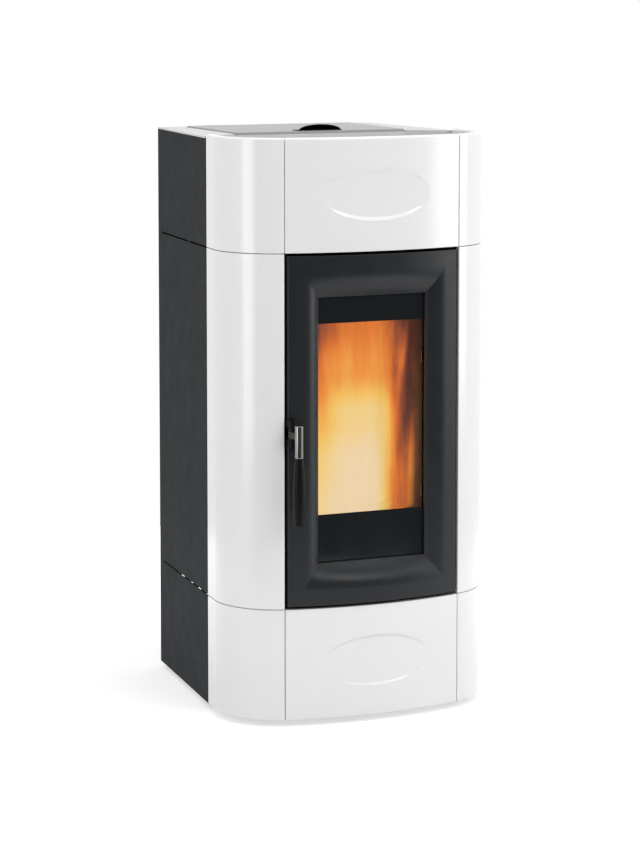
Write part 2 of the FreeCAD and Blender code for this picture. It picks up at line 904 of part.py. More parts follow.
def glass_clips():
    z_mid = case_low + (glass_low_rise + glass_high_rise) / 2
    clips = []
    for side in (1, -1):
        for rise in (-clip_side_rise, clip_side_rise):
            clip = glass_clip()
            if side < 0:
                clip = mirrored(clip)
            clip.translate(V(0, 0, z_mid + rise))
            clips.append(clip)
    z_edge = (glass_high_rise - glass_low_rise) / 2 - glass_half_width
    for turn in (90, -90):
        clip = glass_clip()
        clip.rotate(V(0, 0, 0), V(0, 1, 0), turn)
        clip.translate(V(0, 0, z_mid - math.copysign(z_edge, turn)))
        clips.append(clip)
    return Part.makeCompound(clips)


# Body side of the door hinges: plate, lug and pin
def hinge_brackets():
    parts = []
    for z in hinge_heights():
        z1 = z + hinge_lug_height
        top = z1 + hinge_eye_gap + hinge_eye_height
        lug = box(hinge_x - hinge_lug_half, hinge_x + hinge_lug_half, hinge_y, plate_depth, z, z1)
        nose = rod_z(z, z1, hinge_x, hinge_y, hinge_lug_half)
        plate = box(hinge_x - hinge_base_half, hinge_x + hinge_base_half, plate_depth - hinge_base_sheet,
                    plate_depth, z, top)
        pin = rod_z(z, top - overrun, hinge_x, hinge_y, hinge_pin_radius)
        parts.append(join(lug, nose, plate, pin))
    return Part.makeCompound(parts)


# Fork on the door's free edge, with its vertical pin
def handle_bracket():
    z0 = case_low + fork_low_rise
    z1 = case_low + fork_high_rise
    y_face = front_y(latch_x + fork_half_width)
    parts = []
    for low, high in ((z0, z0 + fork_lower_lug), (z1 - fork_upper_lug, z1)):
        lug = box(latch_x - fork_half_width, latch_x + fork_half_width, latch_y, y_face + door_wall, low, high)
        nose = rod_z(low, high, latch_x, latch_y, fork_half_width)
        parts.append(join(lug, nose).cut(casing(-seat_gap / 3, low - overrun, high + overrun)))
    pin = rod_z(z0 - overrun, z1 + overrun, latch_x, latch_y, latch_pin_radius)
    return join(parts[0], parts[1], pin)


def handle_lever():
    low, high = tail_span()
    m = fork_gap
    z0 = case_low + fork_low_rise + fork_lower_lug + m
    z1 = case_low + fork_high_rise - fork_upper_lug - m
    boss = rod_z(z0, z1, latch_x, latch_y, lever_boss_radius)
    z_mid = (low + high) / 2
    arm_low = z_mid - lever_arm_height / 2
    arm = box(grip_x - lever_arm_half, grip_x + lever_arm_half, grip_y, latch_y, arm_low, arm_low + lever_arm_height)
    tail_end = latch_y + lever_tail_reach
    tail = box(latch_x - lever_tail_half, latch_x + lever_tail_half, latch_y, tail_end + latch_nose_thickness,
               low, high)
    nose = box(latch_x - latch_nose, latch_x, tail_end, tail_end + latch_nose_thickness, low, high)
    socket = rod_z(case_low + ferrule_low_rise, case_low + ferrule_low_rise + ferrule_height, grip_x, grip_y,
                   ferrule_radius + seat_gap / 3)
    body = join(boss, arm, tail, nose).cut(socket)
    return body.cut(rod_z(z0 - overrun, z1 + overrun, latch_x, latch_y, latch_pin_radius + latch_running_gap))


def handle_ferrule():
    z0 = case_low + ferrule_low_rise
    z1 = z0 + ferrule_height
    body = rod_z(z0, z1, grip_x, grip_y, ferrule_radius)
    return round_edges(body, ferrule_edge, lambda e: at_height(e, z0) or at_height(e, z1))


def handle_grip():
    z1 = case_low + ferrule_low_rise
    z0 = z1 - grip_length
    z_wide = z0 + grip_length * grip_wide_share
    curve = Part.BSplineCurve()
    curve.interpolate([V(grip_end_radius, 0, z0), V(grip_wide_radius, 0, z_wide), V(grip_top_radius, 0, z1)])
    edges = [
        Part.makeLine(V(0, 0, z0), V(grip_end_radius, 0, z0)),
        curve.toShape(),
        Part.makeLine(V(grip_top_radius, 0, z1), V(0, 0, z1)),
        Part.makeLine(V(0, 0, z1), V(0, 0, z0)),
    ]
    solid = Part.Face(Part.Wire(edges)).revolve(V(0, 0, 0), V(0, 0, 1), 360)
    solid = round_edges(solid, grip_end_round, lambda e: at_height(e, z0))
    solid.translate(V(grip_x, grip_y, 0))
    return solid


# Fire chamber with the smoke duct welded to its rear wall
def firebox():
    y0 = plate_depth + plate_sheet
    z0 = case_low + firebox_low_rise
    z1 = case_low + firebox_high_rise
    w = firebox_wall
    half = firebox_half_width
    shell = box(-half, half, y0, firebox_rear, z0, z1)
    shell = shell.cut(box(-half + w, half - w, y0 - overrun, firebox_rear - w, z0 + w, z1 - w))
    ledge_z = case_low + baffle_rise
    ledges = [
        box(-half + w, -half + w + baffle_ledge, y0 + baffle_front_gap, firebox_rear - w, ledge_z - w, ledge_z),
        box(half - w - baffle_ledge, half - w, y0 + baffle_front_gap, firebox_rear - w, ledge_z - w, ledge_z),
    ]
    tail_low, tail_high = tail_span()
    duct = smoke_duct()
    body = join(shell, duct, *ledges)
    x_mid = (duct_left + duct_right) / 2
    port_half = (duct_right - duct_left) / 2 - 2 * duct_wall
    port_high = case_low + duct_high_rise - 2 * duct_wall
    cuts = [
        box(x_mid - port_half, x_mid + port_half, firebox_rear - w - overrun, firebox_rear + overrun,
            port_high - smoke_port_height, port_high),
        box(-chute_half_width + chute_wall, chute_half_width - chute_wall, firebox_rear - w - overrun,
            firebox_rear + overrun, case_low + chute_low_rise + chute_wall, case_low + chute_port_high_rise),
        rod_y(firebox_rear - w - overrun, firebox_rear + overrun, 0, case_low + intake_rise,
              intake_radius + intake_step + seat_gap),
        rod_y(firebox_rear - w - overrun, firebox_rear + overrun, igniter_x, case_low + igniter_rise,
              igniter_radius + igniter_gap),
    ]
    return body.cut(cuts)


def smoke_duct():
    y0 = firebox_rear
    y1 = firebox_rear + duct_depth
    z0 = case_low + duct_low_rise
    z1 = case_low + duct_high_rise
    t = duct_wall
    x0 = duct_left
    x1 = duct_right
    tall = box(x0, x1, y0, y1, z0, z1)
    low = box(x0, x1, y0, smoke_box_rear, z0, z0 + smoke_box_height)
    outer = tall.fuse(low)
    tall_in = box(x0 + t, x1 - t, y0 + t, y1 - t, z0 + t, z1 - t)
    low_in = box(x0 + t, x1 - t, y0 + t, smoke_box_rear - t, z0 + t, z0 + smoke_box_height - t)
    inlet = rod_x(x1 - t - overrun, x1 + overrun, fan_y, case_low + fan_rise, fan_inlet_radius)
    port_high = z1 - 2 * t
    port = box(x0 + 2 * t, x1 - 2 * t, y0 - overrun, y0 + 2 * t, port_high - smoke_port_height, port_high)
    return outer.cut([tall_in, low_in, inlet, port])


# Fluted rear lining
def firebox_liner():
    y1 = firebox_rear - firebox_wall
    y0 = y1 - liner_thickness
    half = firebox_half_width - firebox_wall - liner_side_gap
    z0 = case_low + liner_low_rise
    z1 = case_low + liner_high_rise
    slab = box(-half, half, y0, y1, z0, z1)
    pitch = 2 * half / flute_count
    y_tool = y0 - flute_radius + flute_depth
    flutes = [rod_z(z0 - overrun, z1 + overrun, -half + pitch * (i + 1 / 2), y_tool, flute_radius)
              for i in range(flute_count)]
    port = box(-chute_half_width + chute_wall, chute_half_width - chute_wall, y0 - overrun, y1 + overrun,
               case_low + chute_low_rise + chute_wall, case_low + chute_port_high_rise)
    return slab.cut(flutes + [port])


def baffle():
    y0 = plate_depth + plate_sheet + baffle_front_gap
    y1 = firebox_rear - firebox_wall
    half = firebox_half_width - firebox_wall - liner_side_gap
    z0 = case_low + baffle_rise
    return box(-half, half, y0, y1 - liner_side_gap, z0, z0 + baffle_thickness)


def seat_top():
    return case_low + firebox_low_rise + firebox_wall + seat_height


def pot_seat():
    z0 = case_low + firebox_low_rise + firebox_wall
    z1 = seat_top()
    y1 = firebox_rear - firebox_wall
    t = seat_wall
    body = box(-seat_half_width, seat_half_width, seat_front, y1, z0, z1)
    body = body.cut(box(-seat_half_width + t, seat_half_width - t, seat_front + t, y1 - t, z0 + t, z1 - t))
    m = seat_gap
    y_mid = pot_centre_depth
    cuts = [
        box(-pot_half_width - m, pot_half_width + m, y_mid - pot_half_depth - m, y_mid + pot_half_depth + m,
            z1 - t - overrun, z1 + overrun),
        rod_y(y1 - t - overrun, y1 + overrun, 0, case_low + intake_rise, intake_radius + intake_step + m),
        rod_y(y1 - t - overrun, y1 + overrun, igniter_x, case_low + igniter_rise, igniter_radius + m),
    ]
    return body.cut(cuts)


# Tapered fire pot that hangs in its seat by its flange and lifts out
def tapered_block(half_x, half_y, share, z0, z1):
    y_mid = pot_centre_depth

    def ring(hx, hy, z):
        corners = [(-hx, -hy), (hx, -hy), (hx, hy), (-hx, hy), (-hx, -hy)]
        return Part.makePolygon([V(x, y_mid + y, z) for x, y in corners])

    return Part.makeLoft([ring(half_x * share, half_y * share, z0), ring(half_x, half_y, z1)], True, True)


def burner_pot():
    z1 = seat_top() + pot_wall
    z0 = z1 - pot_depth
    t = pot_wall
    outer = tapered_block(pot_half_width, pot_half_depth, pot_taper_share, z0, z1)
    inner = tapered_block(pot_half_width - t, pot_half_depth - t, pot_taper_share, z0 + t, z1 + t / 3)
    y_mid = pot_centre_depth
    fx = pot_half_width + pot_flange
    fy = pot_half_depth + pot_flange
    flange = box(-fx, fx, y_mid - fy, y_mid + fy, seat_top(), z1)
    body = join(outer, flange).cut(inner)
    holes = []
    step_x = 2 * pot_half_width * pot_taper_share / (pot_hole_columns + 1)
    step_y = 2 * pot_half_depth * pot_taper_share / (pot_hole_rows + 1)
    for i in range(pot_hole_columns):
        for j in range(pot_hole_rows):
            x = step_x * (i + 1) - pot_half_width * pot_taper_share
            y = y_mid + step_y * (j + 1) - pot_half_depth * pot_taper_share
            holes.append(rod_z(z0 - overrun, z0 + t + overrun, x, y, pot_hole_radius))
    return body.cut(holes)


# Ash pan in the well behind the fire opening's sill, lifted out by its bail
def ash_pan():
    z0 = case_low + firebox_low_rise + firebox_wall
    z1 = z0 + pan_height
    t = pan_wall
    body = box(-pan_half_width, pan_half_width, pan_front, pan_rear, z0, z1)
    rim = box(-pan_half_width - pan_rim, pan_half_width + pan_rim, pan_front - pan_rim, pan_rear + pan_rim,
              z1 - t, z1)
    body = join(body, rim)
    body = body.cut(box(-pan_half_width + t, pan_half_width - t, pan_front + t, pan_rear - t, z0 + t, z1 + overrun))
    y = pan_front - pan_rim / 2 + bail_rod
    z_bar = z1 + bail_height
    r = bail_rod
    bar = rod_x(-bail_half_width, bail_half_width, y + r, z_bar, r)
    legs = [box(x - r, x + r, y, y + 2 * r, z1 - bail_foot, z_bar) for x in (-bail_half_width, bail_half_width)]
    return join(body, bar, *legs)


def igniter():
    z = case_low + igniter_rise
    y0 = pot_centre_depth + pot_half_depth + 2 * pot_flange
    rod = rod_y(y0, firebox_rear + igniter_tail, igniter_x, z, igniter_radius)
    y_collar = firebox_rear + seat_gap
    return join(rod, rod_y(y_collar, y_collar + igniter_tail / 3, igniter_x, z, 2 * igniter_radius))


def air_intake_pipe():
    z = case_low + intake_rise
    y0 = firebox_rear - firebox_wall - seat_wall
    y1 = case_depth + intake_reach
    pipe = join(rod_y(y0, y1 - intake_spigot, 0, z, intake_radius + intake_step), rod_y(y0, y1, 0, z, intake_radius))
    return pipe.cut(rod_y(y0 - overrun, y1 + overrun, 0, z, intake_radius - intake_wall))


# Extractor: round housing with an outlet tube that leaves it at a tangent, towards the rear
def exhaust_housing():
    x0 = duct_right
    x1 = x0 + fan_width
    z = case_low + fan_rise
    t = fan_wall
    y_end = case_depth + flue_reach
    drum = rod_x(x0, x1, fan_y, z, fan_radius + t)
    tube = rod_y(fan_y, y_end - flue_spigot, flue_x, flue_rise, flue_radius + flue_step)
    spigot = rod_y(fan_y, y_end, flue_x, flue_rise, flue_radius)
    body = drum.fuse([tube, spigot])
    side = box(x0, x1, fan_y - 2 * fan_radius, y_end + overrun, z - 2 * fan_radius, z + 2 * fan_radius)
    hollow = rod_x(x0 + t, x1 - t, fan_y, z, fan_radius)
    bore = rod_y(fan_y, y_end + overrun, flue_x, flue_rise, flue_radius - flue_wall)
    inlet = rod_x(x0 - overrun, x0 + t + overrun, fan_y, z, fan_inlet_radius)
    shaft = rod_x(x1 - t - overrun, x1 + overrun, fan_y, z, 3 * fan_shaft_radius)
    bore_in = bore.common(box(x0 + t, x1 - t, fan_y, case_depth, z - 2 * fan_radius, z + 2 * fan_radius))
    bore_out = bore.common(box(x0 - flue_radius, x1 + flue_radius, fan_y + fan_radius, y_end + overrun,
                               z - 2 * fan_radius, z + 2 * fan_radius))
    return body.cut([hollow, bore_in, bore_out, inlet, shaft])


def exhaust_impeller():
    x0 = duct_right + fan_wall + wheel_side_gap
    x1 = x0 + wheel_blade_height
    z = case_low + fan_rise
    disc = rod_x(x1, x1 + wheel_disc, fan_y, z, wheel_radius)
    hub = rod_x(x0 + wheel_side_gap, x1, fan_y, z, wheel_hub_radius)
    shaft_end = duct_right + fan_width + fan_motor_flange + fan_motor_length / 2
    shaft = rod_x(x1, shaft_end, fan_y, z, fan_shaft_radius)
    blades = []
    for i in range(wheel_blade_count):
        blade = box(x0, x1, wheel_inner_radius / 2, wheel_radius, 0, wheel_blade)
        blade.rotate(V(0, 0, 0), V(1, 0, 0), 360 * i / wheel_blade_count)
        blade.translate(V(0, fan_y, z))
        blades.append(blade)
    wheel = join(disc, hub, shaft, *blades)
    return wheel.common(rod_x(x0, shaft_end, fan_y, z, wheel_radius))


def exhaust_motor():
    x0 = duct_right + fan_width
    z = case_low + fan_rise
    flange = rod_x(x0, x0 + fan_motor_flange, fan_y, z, fan_motor_flange_radius)
    x1 = x0 + fan_motor_flange + fan_motor_length
    can = rod_x(x0 + fan_motor_flange, x1, fan_y, z, fan_motor_radius)
    slots = []
    for i in range(fin_count):
        slot = box(x0 + fan_motor_flange + fan_motor_cap, x1 - fan_motor_cap, fan_motor_radius - fin_depth,
                   fan_motor_radius + overrun, -fin_width / 2, fin_width / 2)
        slot.rotate(V(0, 0, 0), V(1, 0, 0), 360 * i / fin_count)
        slot.translate(V(0, fan_y, z))
        slots.append(slot)
    body = join(flange, can).cut(slots)
    bore_end = x0 + fan_motor_flange + fan_motor_length / 2 + overrun
    return body.cut(rod_x(x0 - overrun, bore_end, fan_y, z, fan_shaft_radius + shaft_gap))


# Room air fan: scroll housing, open on both sides, mouth forwards, on two feet
def blower_centre():
    return case_low + tray_rise + plate_sheet + blower_rise_gap + blower_wall + blower_radius


def blower_housing():
    z = blower_centre()
    t = blower_wall
    x0 = blower_left
    x1 = blower_right
    r = blower_radius
    mouth_front = blower_y - r - blower_mouth_depth
    mouth_low = z + r - blower_mouth_height
    drum = rod_x(x0, x1, blower_y, z, r + t)
    mouth = box(x0, x1, mouth_front, blower_y, mouth_low - t, z + r + t)
    outer = drum.fuse(mouth)
    hollow = rod_x(x0 + t, x1 - t, blower_y, z, r)
    throat = box(x0 + t, x1 - t, mouth_front - overrun, blower_y, mouth_low, z + r)
    eye = rod_x(x0 - overrun, x1 + overrun, blower_y, z, blower_eye_radius)
    body = outer.cut([hollow, throat, eye])
    bar = spider_bar / 2
    reach = blower_eye_radius + t
    spiders = []
    for low, high in ((x0, x0 + t), (x1 - t, x1)):
        spiders.append(box(low, high, blower_y - bar, blower_y + bar, z - reach, z + reach))
        spiders.append(box(low, high, blower_y - reach, blower_y + reach, z - bar, z + bar))
    floor = case_low + tray_rise + plate_sheet
    feet = []
    for x in (x0, x1 - blower_foot):
        feet.append(box(x, x + blower_foot, blower_y - r / 2, blower_y + r / 2, floor, z - r / 2)
                    .cut(rod_x(x - overrun, x + blower_foot + overrun, blower_y, z, r + t / 2)))
    body = join(body, *(spiders + feet))
    bore = rod_x(x0 - overrun, x1 + overrun, blower_y, z, drum_shaft_radius + shaft_gap)
    return body.cut(bore)


def blower_drum():
    z = blower_centre()
    x0 = blower_left + blower_wall + drum_side_gap
    x1 = blower_right - blower_wall - drum_side_gap
    r = drum_radius
    parts = []
    for low, high in ((x0, x0 + drum_ring), (x1 - drum_ring, x1)):
        parts.append(rod_x(low, high, 0, 0, r).cut(rod_x(low, high, 0, 0, r - drum_blade_depth)))
    mid = (x0 + x1) / 2
    parts.append(rod_x(mid - drum_disc / 2, mid + drum_disc / 2, 0, 0, r))
    parts.append(rod_x(mid - 3 * drum_disc, mid + 3 * drum_disc, 0, 0, drum_hub_radius))
    parts.append(rod_x(blower_left + blower_wall / 4, blower_right - blower_wall / 4, 0, 0, drum_shaft_radius))
    for i in range(drum_blade_count):
        blade = box(x0, x1, r - drum_blade_depth, r - drum_blade / 2, -drum_blade / 2, drum_blade / 2)
        blade.rotate(V(0, 0, 0), V(1, 0, 0), 360 * i / drum_blade_count)
        parts.append(blade)
    drum = join(parts[0], *parts[1:])
    drum.translate(V(0, blower_y, z))
    return drum


# Pellet hopper: straight upper bin, tapered lower part, neck over the auger tube, mouth collar
def hopper_block(grow, z_low, z_high):
    g = grow
    z_taper = case_low + hopper_taper_rise
    z_neck = case_low + hopper_neck_rise

    def ring(half, y0, y1, z):
        corners = [(-half - g, y0 - g), (half + g, y0 - g), (half + g, y1 + g), (-half - g, y1 + g),
                   (-half - g, y0 - g)]
        return Part.makePolygon([V(x, y, z) for x, y in corners])

    top = box(-hopper_half_width - g, hopper_half_width + g, hopper_front - g, hopper_rear + g, z_taper, z_high)
    funnel = Part.makeLoft([ring(hopper_neck_half, hopper_neck_front, hopper_neck_rear, z_neck),
                            ring(hopper_half_width, hopper_front, hopper_rear, z_taper)], True, True)
    neck = box(-hopper_neck_half - g, hopper_neck_half + g, hopper_neck_front - g, hopper_neck_rear + g,
               z_low, z_neck)
    return top.fuse([funnel, neck])


def auger_axis():
    a = math.radians(auger_angle)
    return V(0, -math.cos(a), math.sin(a))


def auger_foot():
    return V(0, auger_foot_y, case_low + auger_foot_rise)


def along_auger(start, length, radius):
    return Part.makeCylinder(radius, length, auger_foot() + auger_axis() * start, auger_axis())


def hopper():
    z_low = case_low + auger_foot_rise
    z1 = case_low + collar_rise
    body = hopper_block(0.0, z_low, z1).cut(hopper_block(-hopper_sheet, z_low - overrun, z1 + overrun))
    flange_z = case_low + hopper_flange_rise
    x = lid_half_width + lid_side_gap
    flange = box(-x, x, lid_front + well_sheet + seat_gap, lid_rear + lid_side_gap, flange_z, flange_z + sheet)
    flange = flange.cut(box(-hopper_half_width + sheet / 2, hopper_half_width - sheet / 2,
                            hopper_front + sheet / 2, hopper_rear - sheet / 2, flange_z - overrun, z1))
    body = join(body, flange)
    clear = along_auger(-tube_length, 3 * tube_length, tube_radius + seat_gap)
    flange_clear = along_auger(-tube_length, tube_length + seat_gap, gear_case_radius + 3 * gear_flange)
    low_cut = box(-hopper_half_width, hopper_half_width, hopper_front, hopper_rear + hopper_sheet,
                  z_low - tube_length, z_low)
    a = math.radians(auger_angle)
    below = prism_x([
        (auger_foot_y + tube_length, case_low + auger_foot_rise - tube_length * math.tan(a)),
        (auger_foot_y - tube_length, case_low + auger_foot_rise + tube_length * math.tan(a)),
        (auger_foot_y - tube_length, z_low - tube_length),
    ], -hopper_half_width, hopper_half_width)
    body = body.cut([clear, flange_clear, low_cut, below])
    return max(body.Solids, key=lambda s: s.Volume)


def auger_tube():
    tube = along_auger(0, tube_length, tube_radius).cut(
        along_auger(-overrun, tube_length + 2 * overrun, tube_radius - tube_wall))
    mouth = box(-hopper_neck_half + 2 * hopper_sheet, hopper_neck_half - 2 * hopper_sheet,
                hopper_neck_front + 2 * hopper_sheet, hopper_neck_rear - 2 * hopper_sheet,
                case_low + auger_foot_rise, case_low + hopper_neck_rise)
    upper_side = along_auger(0, tube_length, tube_radius + overrun)
    a = math.radians(auger_angle)
    below = prism_x([
        (auger_foot_y + tube_length, case_low + auger_foot_rise - tube_length * math.tan(a)),
        (auger_foot_y - tube_length, case_low + auger_foot_rise + tube_length * math.tan(a)),
        (auger_foot_y - tube_length, case_low + auger_foot_rise - tube_length * math.tan(a)),
    ], -tube_radius, tube_radius)
    flange = along_auger(-gear_flange, gear_flange, gear_case_radius + 2 * gear_flange).cut(
        along_auger(-2 * gear_flange, 3 * gear_flange, screw_shaft_radius + 2 * shaft_gap))
    return join(tube.cut(mouth.common(upper_side).cut(below)), flange)


# Screw conveyor: shaft with one continuous helical flight
def auger_screw():
    length = screw_pitch * screw_turns
    helix = Part.makeHelix(screw_pitch, length, screw_shaft_radius)
    t = screw_flight
    r0 = screw_shaft_radius - t / 3
    profile = Part.makePolygon([V(r0, 0, -t / 2), V(screw_radius, 0, -t / 2), V(screw_radius, 0, t / 2),
                                V(r0, 0, t / 2), V(r0, 0, -t / 2)])
    flight = Part.Wire(helix.Edges).makePipeShell([profile], True, True)
    flight.translate(V(0, 0, screw_lead_in))
    end = tube_length - screw_lead_in
    shaft = rod_z(-gear_flange - gear_case_length / 2, end, 0, 0, screw_shaft_radius)
    screw = join(shaft, flight)
    screw.rotate(V(0, 0, 0), V(1, 0, 0), 90 - auger_angle)
    screw.translate(auger_foot())
    return screw


def gear_motor():
    start = -gear_flange - gear_case_length
    case = Part.makeCylinder(gear_case_radius, gear_case_length, V(0, 0, start))
    h = gear_motor_half
    motor = box(-h, h, -h, h, start - gear_motor_length, start)
    bore = Part.makeCylinder(screw_shaft_radius + shaft_gap, gear_case_length / 2 + overrun,
                             V(0, 0, -gear_flange - gear_case_length / 2 - overrun))
    body = join(case, motor)
    body = body.cut(bore)
    body.rotate(V(0, 0, 0), V(1, 0, 0), 90 - auger_angle)
    body.translate(auger_foot())
    return body


# Drop chute from the head of the auger tube down into the fire
def drop_chute():
    y0 = firebox_rear
    z0 = case_low + chute_low_rise
    z1 = case_low + chute_high_rise
    z_port = case_low + chute_port_high_rise
    t = chute_wall
    y1 = chute_rear
    slope = (y1 - y0)
    outline = [(y0, z0), (y1, z0 + slope), (y1, z1), (y0 + duct_depth / 4, z1), (y0, z_port + 2 * t)]
    inner = [(y0 - overrun, z0 + t), (y0, z0 + t), (y1 - t, z0 + slope), (y1 - t, z1 - t),
             (y0 + duct_depth / 4 + t, z1 - t), (y0 + t, z_port), (y0 - overrun, z_port)]
    body = prism_x(outline, -chute_half_width, chute_half_width)
    body = body.cut(prism_x(inner, -chute_half_width + t, chute_half_width - t))
    return body.cut(along_auger(0, tube_length, tube_radius + seat_gap))


# Deck: plate round the lid, with folded inner edges and the fixed half of the lid hinges
def well_line(shift):
    x_out = case_half_width + overrun
    return [(-x_out, -overrun), (x_out, -overrun), (x_out, side_joint_depth - shift),
            (lid_half_width, lid_front - shift), (-lid_half_width, lid_front - shift),
            (-x_out, side_joint_depth - shift)]


def top_deck():
    x = lid_half_width + lid_side_gap
    y1 = lid_rear + lid_side_gap
    plate = casing(0.0, deck_low, case_top).cut(prism_z(well_line(0.0), deck_low - overrun, case_top + overrun))
    plate = plate.cut(box(-x, x, lid_front - fold, y1, deck_low - overrun, case_top + overrun))
    low = case_top - deck_skirt
    folds = [
        box(-x - sheet, -x, lid_front + sheet, y1 + sheet, low, case_top),
        box(x, x + sheet, lid_front + sheet, y1 + sheet, low, case_top),
        box(-x - sheet, x + sheet, y1, y1 + sheet, low, case_top),
    ]
    plate = join(plate, *folds)
    y_axis, z_axis = lid_axis()
    r = lid_hinge_radius
    hinges = []
    for side in (-1, 1):
        x_mid = side * lid_hinge_x
        x0 = x_mid + lid_knuckle_gap
        x_end = x_mid - lid_knuckle - lid_knuckle_gap
        reach = r + lid_notch_gap
        notch = box(x_end - lid_knuckle_gap, x0, y1 - overrun, y_axis + reach, z_axis - reach, case_top + overrun)
        plate = plate.cut(notch)
        hinges.append(rod_x(x0, x0 + lid_knuckle, y_axis, z_axis, r))
        hinges.append(rod_x(x_end, x0 + overrun, y_axis, z_axis, lid_hinge_pin))
    return join(plate, *hinges)


# The hinge barrels lie flush with the lid, sunk in notches behind it
def lid_axis():
    return lid_rear + lid_side_gap + lid_hinge_setback, lid_top - lid_hinge_radius


def hopper_lid():
    w = lid_half_width
    low = lid_top - lid_skirt
    body = box(-w, w, lid_front, lid_rear, low, lid_top)
    body = round_edges(body, lid_round, lambda e: at_height(e, lid_top))
    t = lid_sheet
    body = body.cut(box(-w + t, w - t, lid_front + t, lid_rear - t, low - overrun, lid_under))
    y_axis, z_axis = lid_axis()
    r = lid_hinge_radius
    parts = []
    for side in (-1, 1):
        x1 = side * lid_hinge_x - lid_knuckle_gap
        x0 = x1 - lid_knuckle
        leaf_top = lid_top - lid_leaf_drop
        leaf = box(x0, x1, lid_rear - lid_sheet / 2, y_axis, leaf_top - lid_leaf_sheet, leaf_top)
        parts.extend([leaf, rod_x(x0, x1, y_axis, z_axis, r)])
    body = join(body, *parts)
    for side in (-1, 1):
        x1 = side * lid_hinge_x
        body = body.cut(rod_x(x1 - 2 * lid_knuckle, x1 + lid_knuckle_gap, y_axis, z_axis,
                              lid_hinge_pin + lid_hinge_gap))
    return body


def lid_seal():
    z1 = case_low + collar_rise
    w = seal_width / 2
    outer = box(-hopper_half_width - w, hopper_half_width + w, hopper_front - w, hopper_rear + w, z1,
                z1 + seal_height)
    inner = box(-hopper_half_width + w, hopper_half_width - w, hopper_front + w, hopper_rear - w, z1 - overrun,
                z1 + seal_height + overrun)
    return outer.cut(inner)


# Cup pull on the lid's front edge, open to the front
def lid_pull():
    y0 = lid_front + pull_front_inset
    z0 = lid_top + pull_flange_sheet

    def dome(half, depth, height):
        wires = []
        for share in pull_station_shares:
            k = math.sqrt(1 - share * share)
            bow = Part.ArcOfEllipse(Part.Ellipse(V(0, 0, 0), half * k, height * k), 0, math.pi).toShape()
            base = Part.makeLine(V(-half * k, 0, 0), V(half * k, 0, 0))
            wire = Part.Wire([bow, base])
            wire.rotate(V(0, 0, 0), V(1, 0, 0), 90)
            wire.translate(V(0, y0 + depth * share, z0))
            wires.append(wire)
        return Part.makeLoft(wires, True, False)

    t = pull_wall
    outer = dome(pull_half_width, pull_depth, pull_height)
    inner = dome(pull_half_width - t, pull_depth - t, pull_height - t)
    f = pull_flange
    flange = box(-pull_half_width - f, pull_half_width + f, y0, y0 + pull_depth + f, lid_top, z0)
    hollow = outer.cut(inner)
    return join(hollow, flange)


# Sunken air outlet behind the ceramic rim
def well_tray():
    inset = tile_rim_depth + 2 * seat_gap + sheet
    t = well_sheet
    body = casing(inset, well_floor, deck_low).common(prism_z(well_line(0.0), well_floor, deck_low))
    inside = casing(inset + t, well_floor + t, deck_low + overrun)
    inside = inside.common(prism_z(well_line(t), well_floor + t, deck_low + overrun))
    body = body.cut(inside)
    slots = []
    r = louvre_slot / 2
    for i in range(louvre_count):
        y = louvre_front + i * louvre_pitch
        x0 = louvre_x - louvre_half_width
        x1 = louvre_x + louvre_half_width
        slot = box(x0, x1, y - r, y + r, well_floor - overrun, well_floor + t + overrun)
        slots.append(slot)
        slots.append(rod_z(well_floor - overrun, well_floor + t + overrun, x0, y, r))
        slots.append(rod_z(well_floor - overrun, well_floor + t + overrun, x1, y, r))
    x_plate = plate_half_width + seat_gap
    front = box(-x_plate, x_plate, 0, plate_depth + plate_sheet + seat_gap, well_floor - overrun,
                deck_low + overrun)
    return body.cut(slots + [front])


def button_places():
    return [(x, y) for y in button_rows for x in button_columns]


def control_panel():
    z0 = well_floor + well_sheet
    z1 = z0 + panel_height
    t = panel_wall
    body = box(panel_left, panel_right, panel_front, panel_rear, z0, z1)
    body = round_edges(body, t / 2, lambda e: at_height(e, z1))
    body = body.cut(box(panel_left + t, panel_right - t, panel_front + t, panel_rear - t, z0, z1 - t))
    body = body.cut(box(display_left, display_right, display_front, display_rear, z1 - display_recess, z1 + overrun))
    holes = [rod_z(z0, z1 + overrun, x, y, button_radius + button_gap) for x, y in button_places()]
    return body.cut(holes)


def button(x, y):
    z1 = well_floor + well_sheet + panel_height
    under = z1 - panel_wall - seat_gap
    cap = rod_z(under - button_flange_height, z1 + button_proud, x, y, button_radius)
    cap = round_edges(cap, button_flange, lambda e: at_height(e, z1 + button_proud))
    flange = rod_z(under - button_flange_height, under, x, y, button_radius + button_flange)
    floor = well_floor + well_sheet + button_travel + seat_gap
    stem = rod_z(floor, under, x, y, button_stem_radius)
    return join(cap, flange, stem)


# Electronics box on posts inside the right side panel
def control_box():
    z0 = case_low + board_box_low_rise
    z1 = z0 + board_box_height
    y0 = board_box_front
    y1 = board_box_rear
    x_out = side_x(y1, sheet) - board_box_standoff
    body = box(x_out - board_box_thickness, x_out, y0, y1, z0, z1)
    body = round_edges(body, board_box_post / 2, lambda e: e.BoundBox.YLength < tolerance
                       and e.BoundBox.XLength < tolerance)
    posts = []
    for y in (y0 + 2 * board_box_post, y1 - 2 * board_box_post):
        for z in (z0 + 2 * board_box_post, z1 - 2 * board_box_post):
            posts.append(rod_x(x_out - board_box_post, case_half_width, y, z, board_box_post))
    body = join(body, *posts)
    return body.common(casing(sheet + seat_gap / 3, z0 - overrun, z1 + overrun))


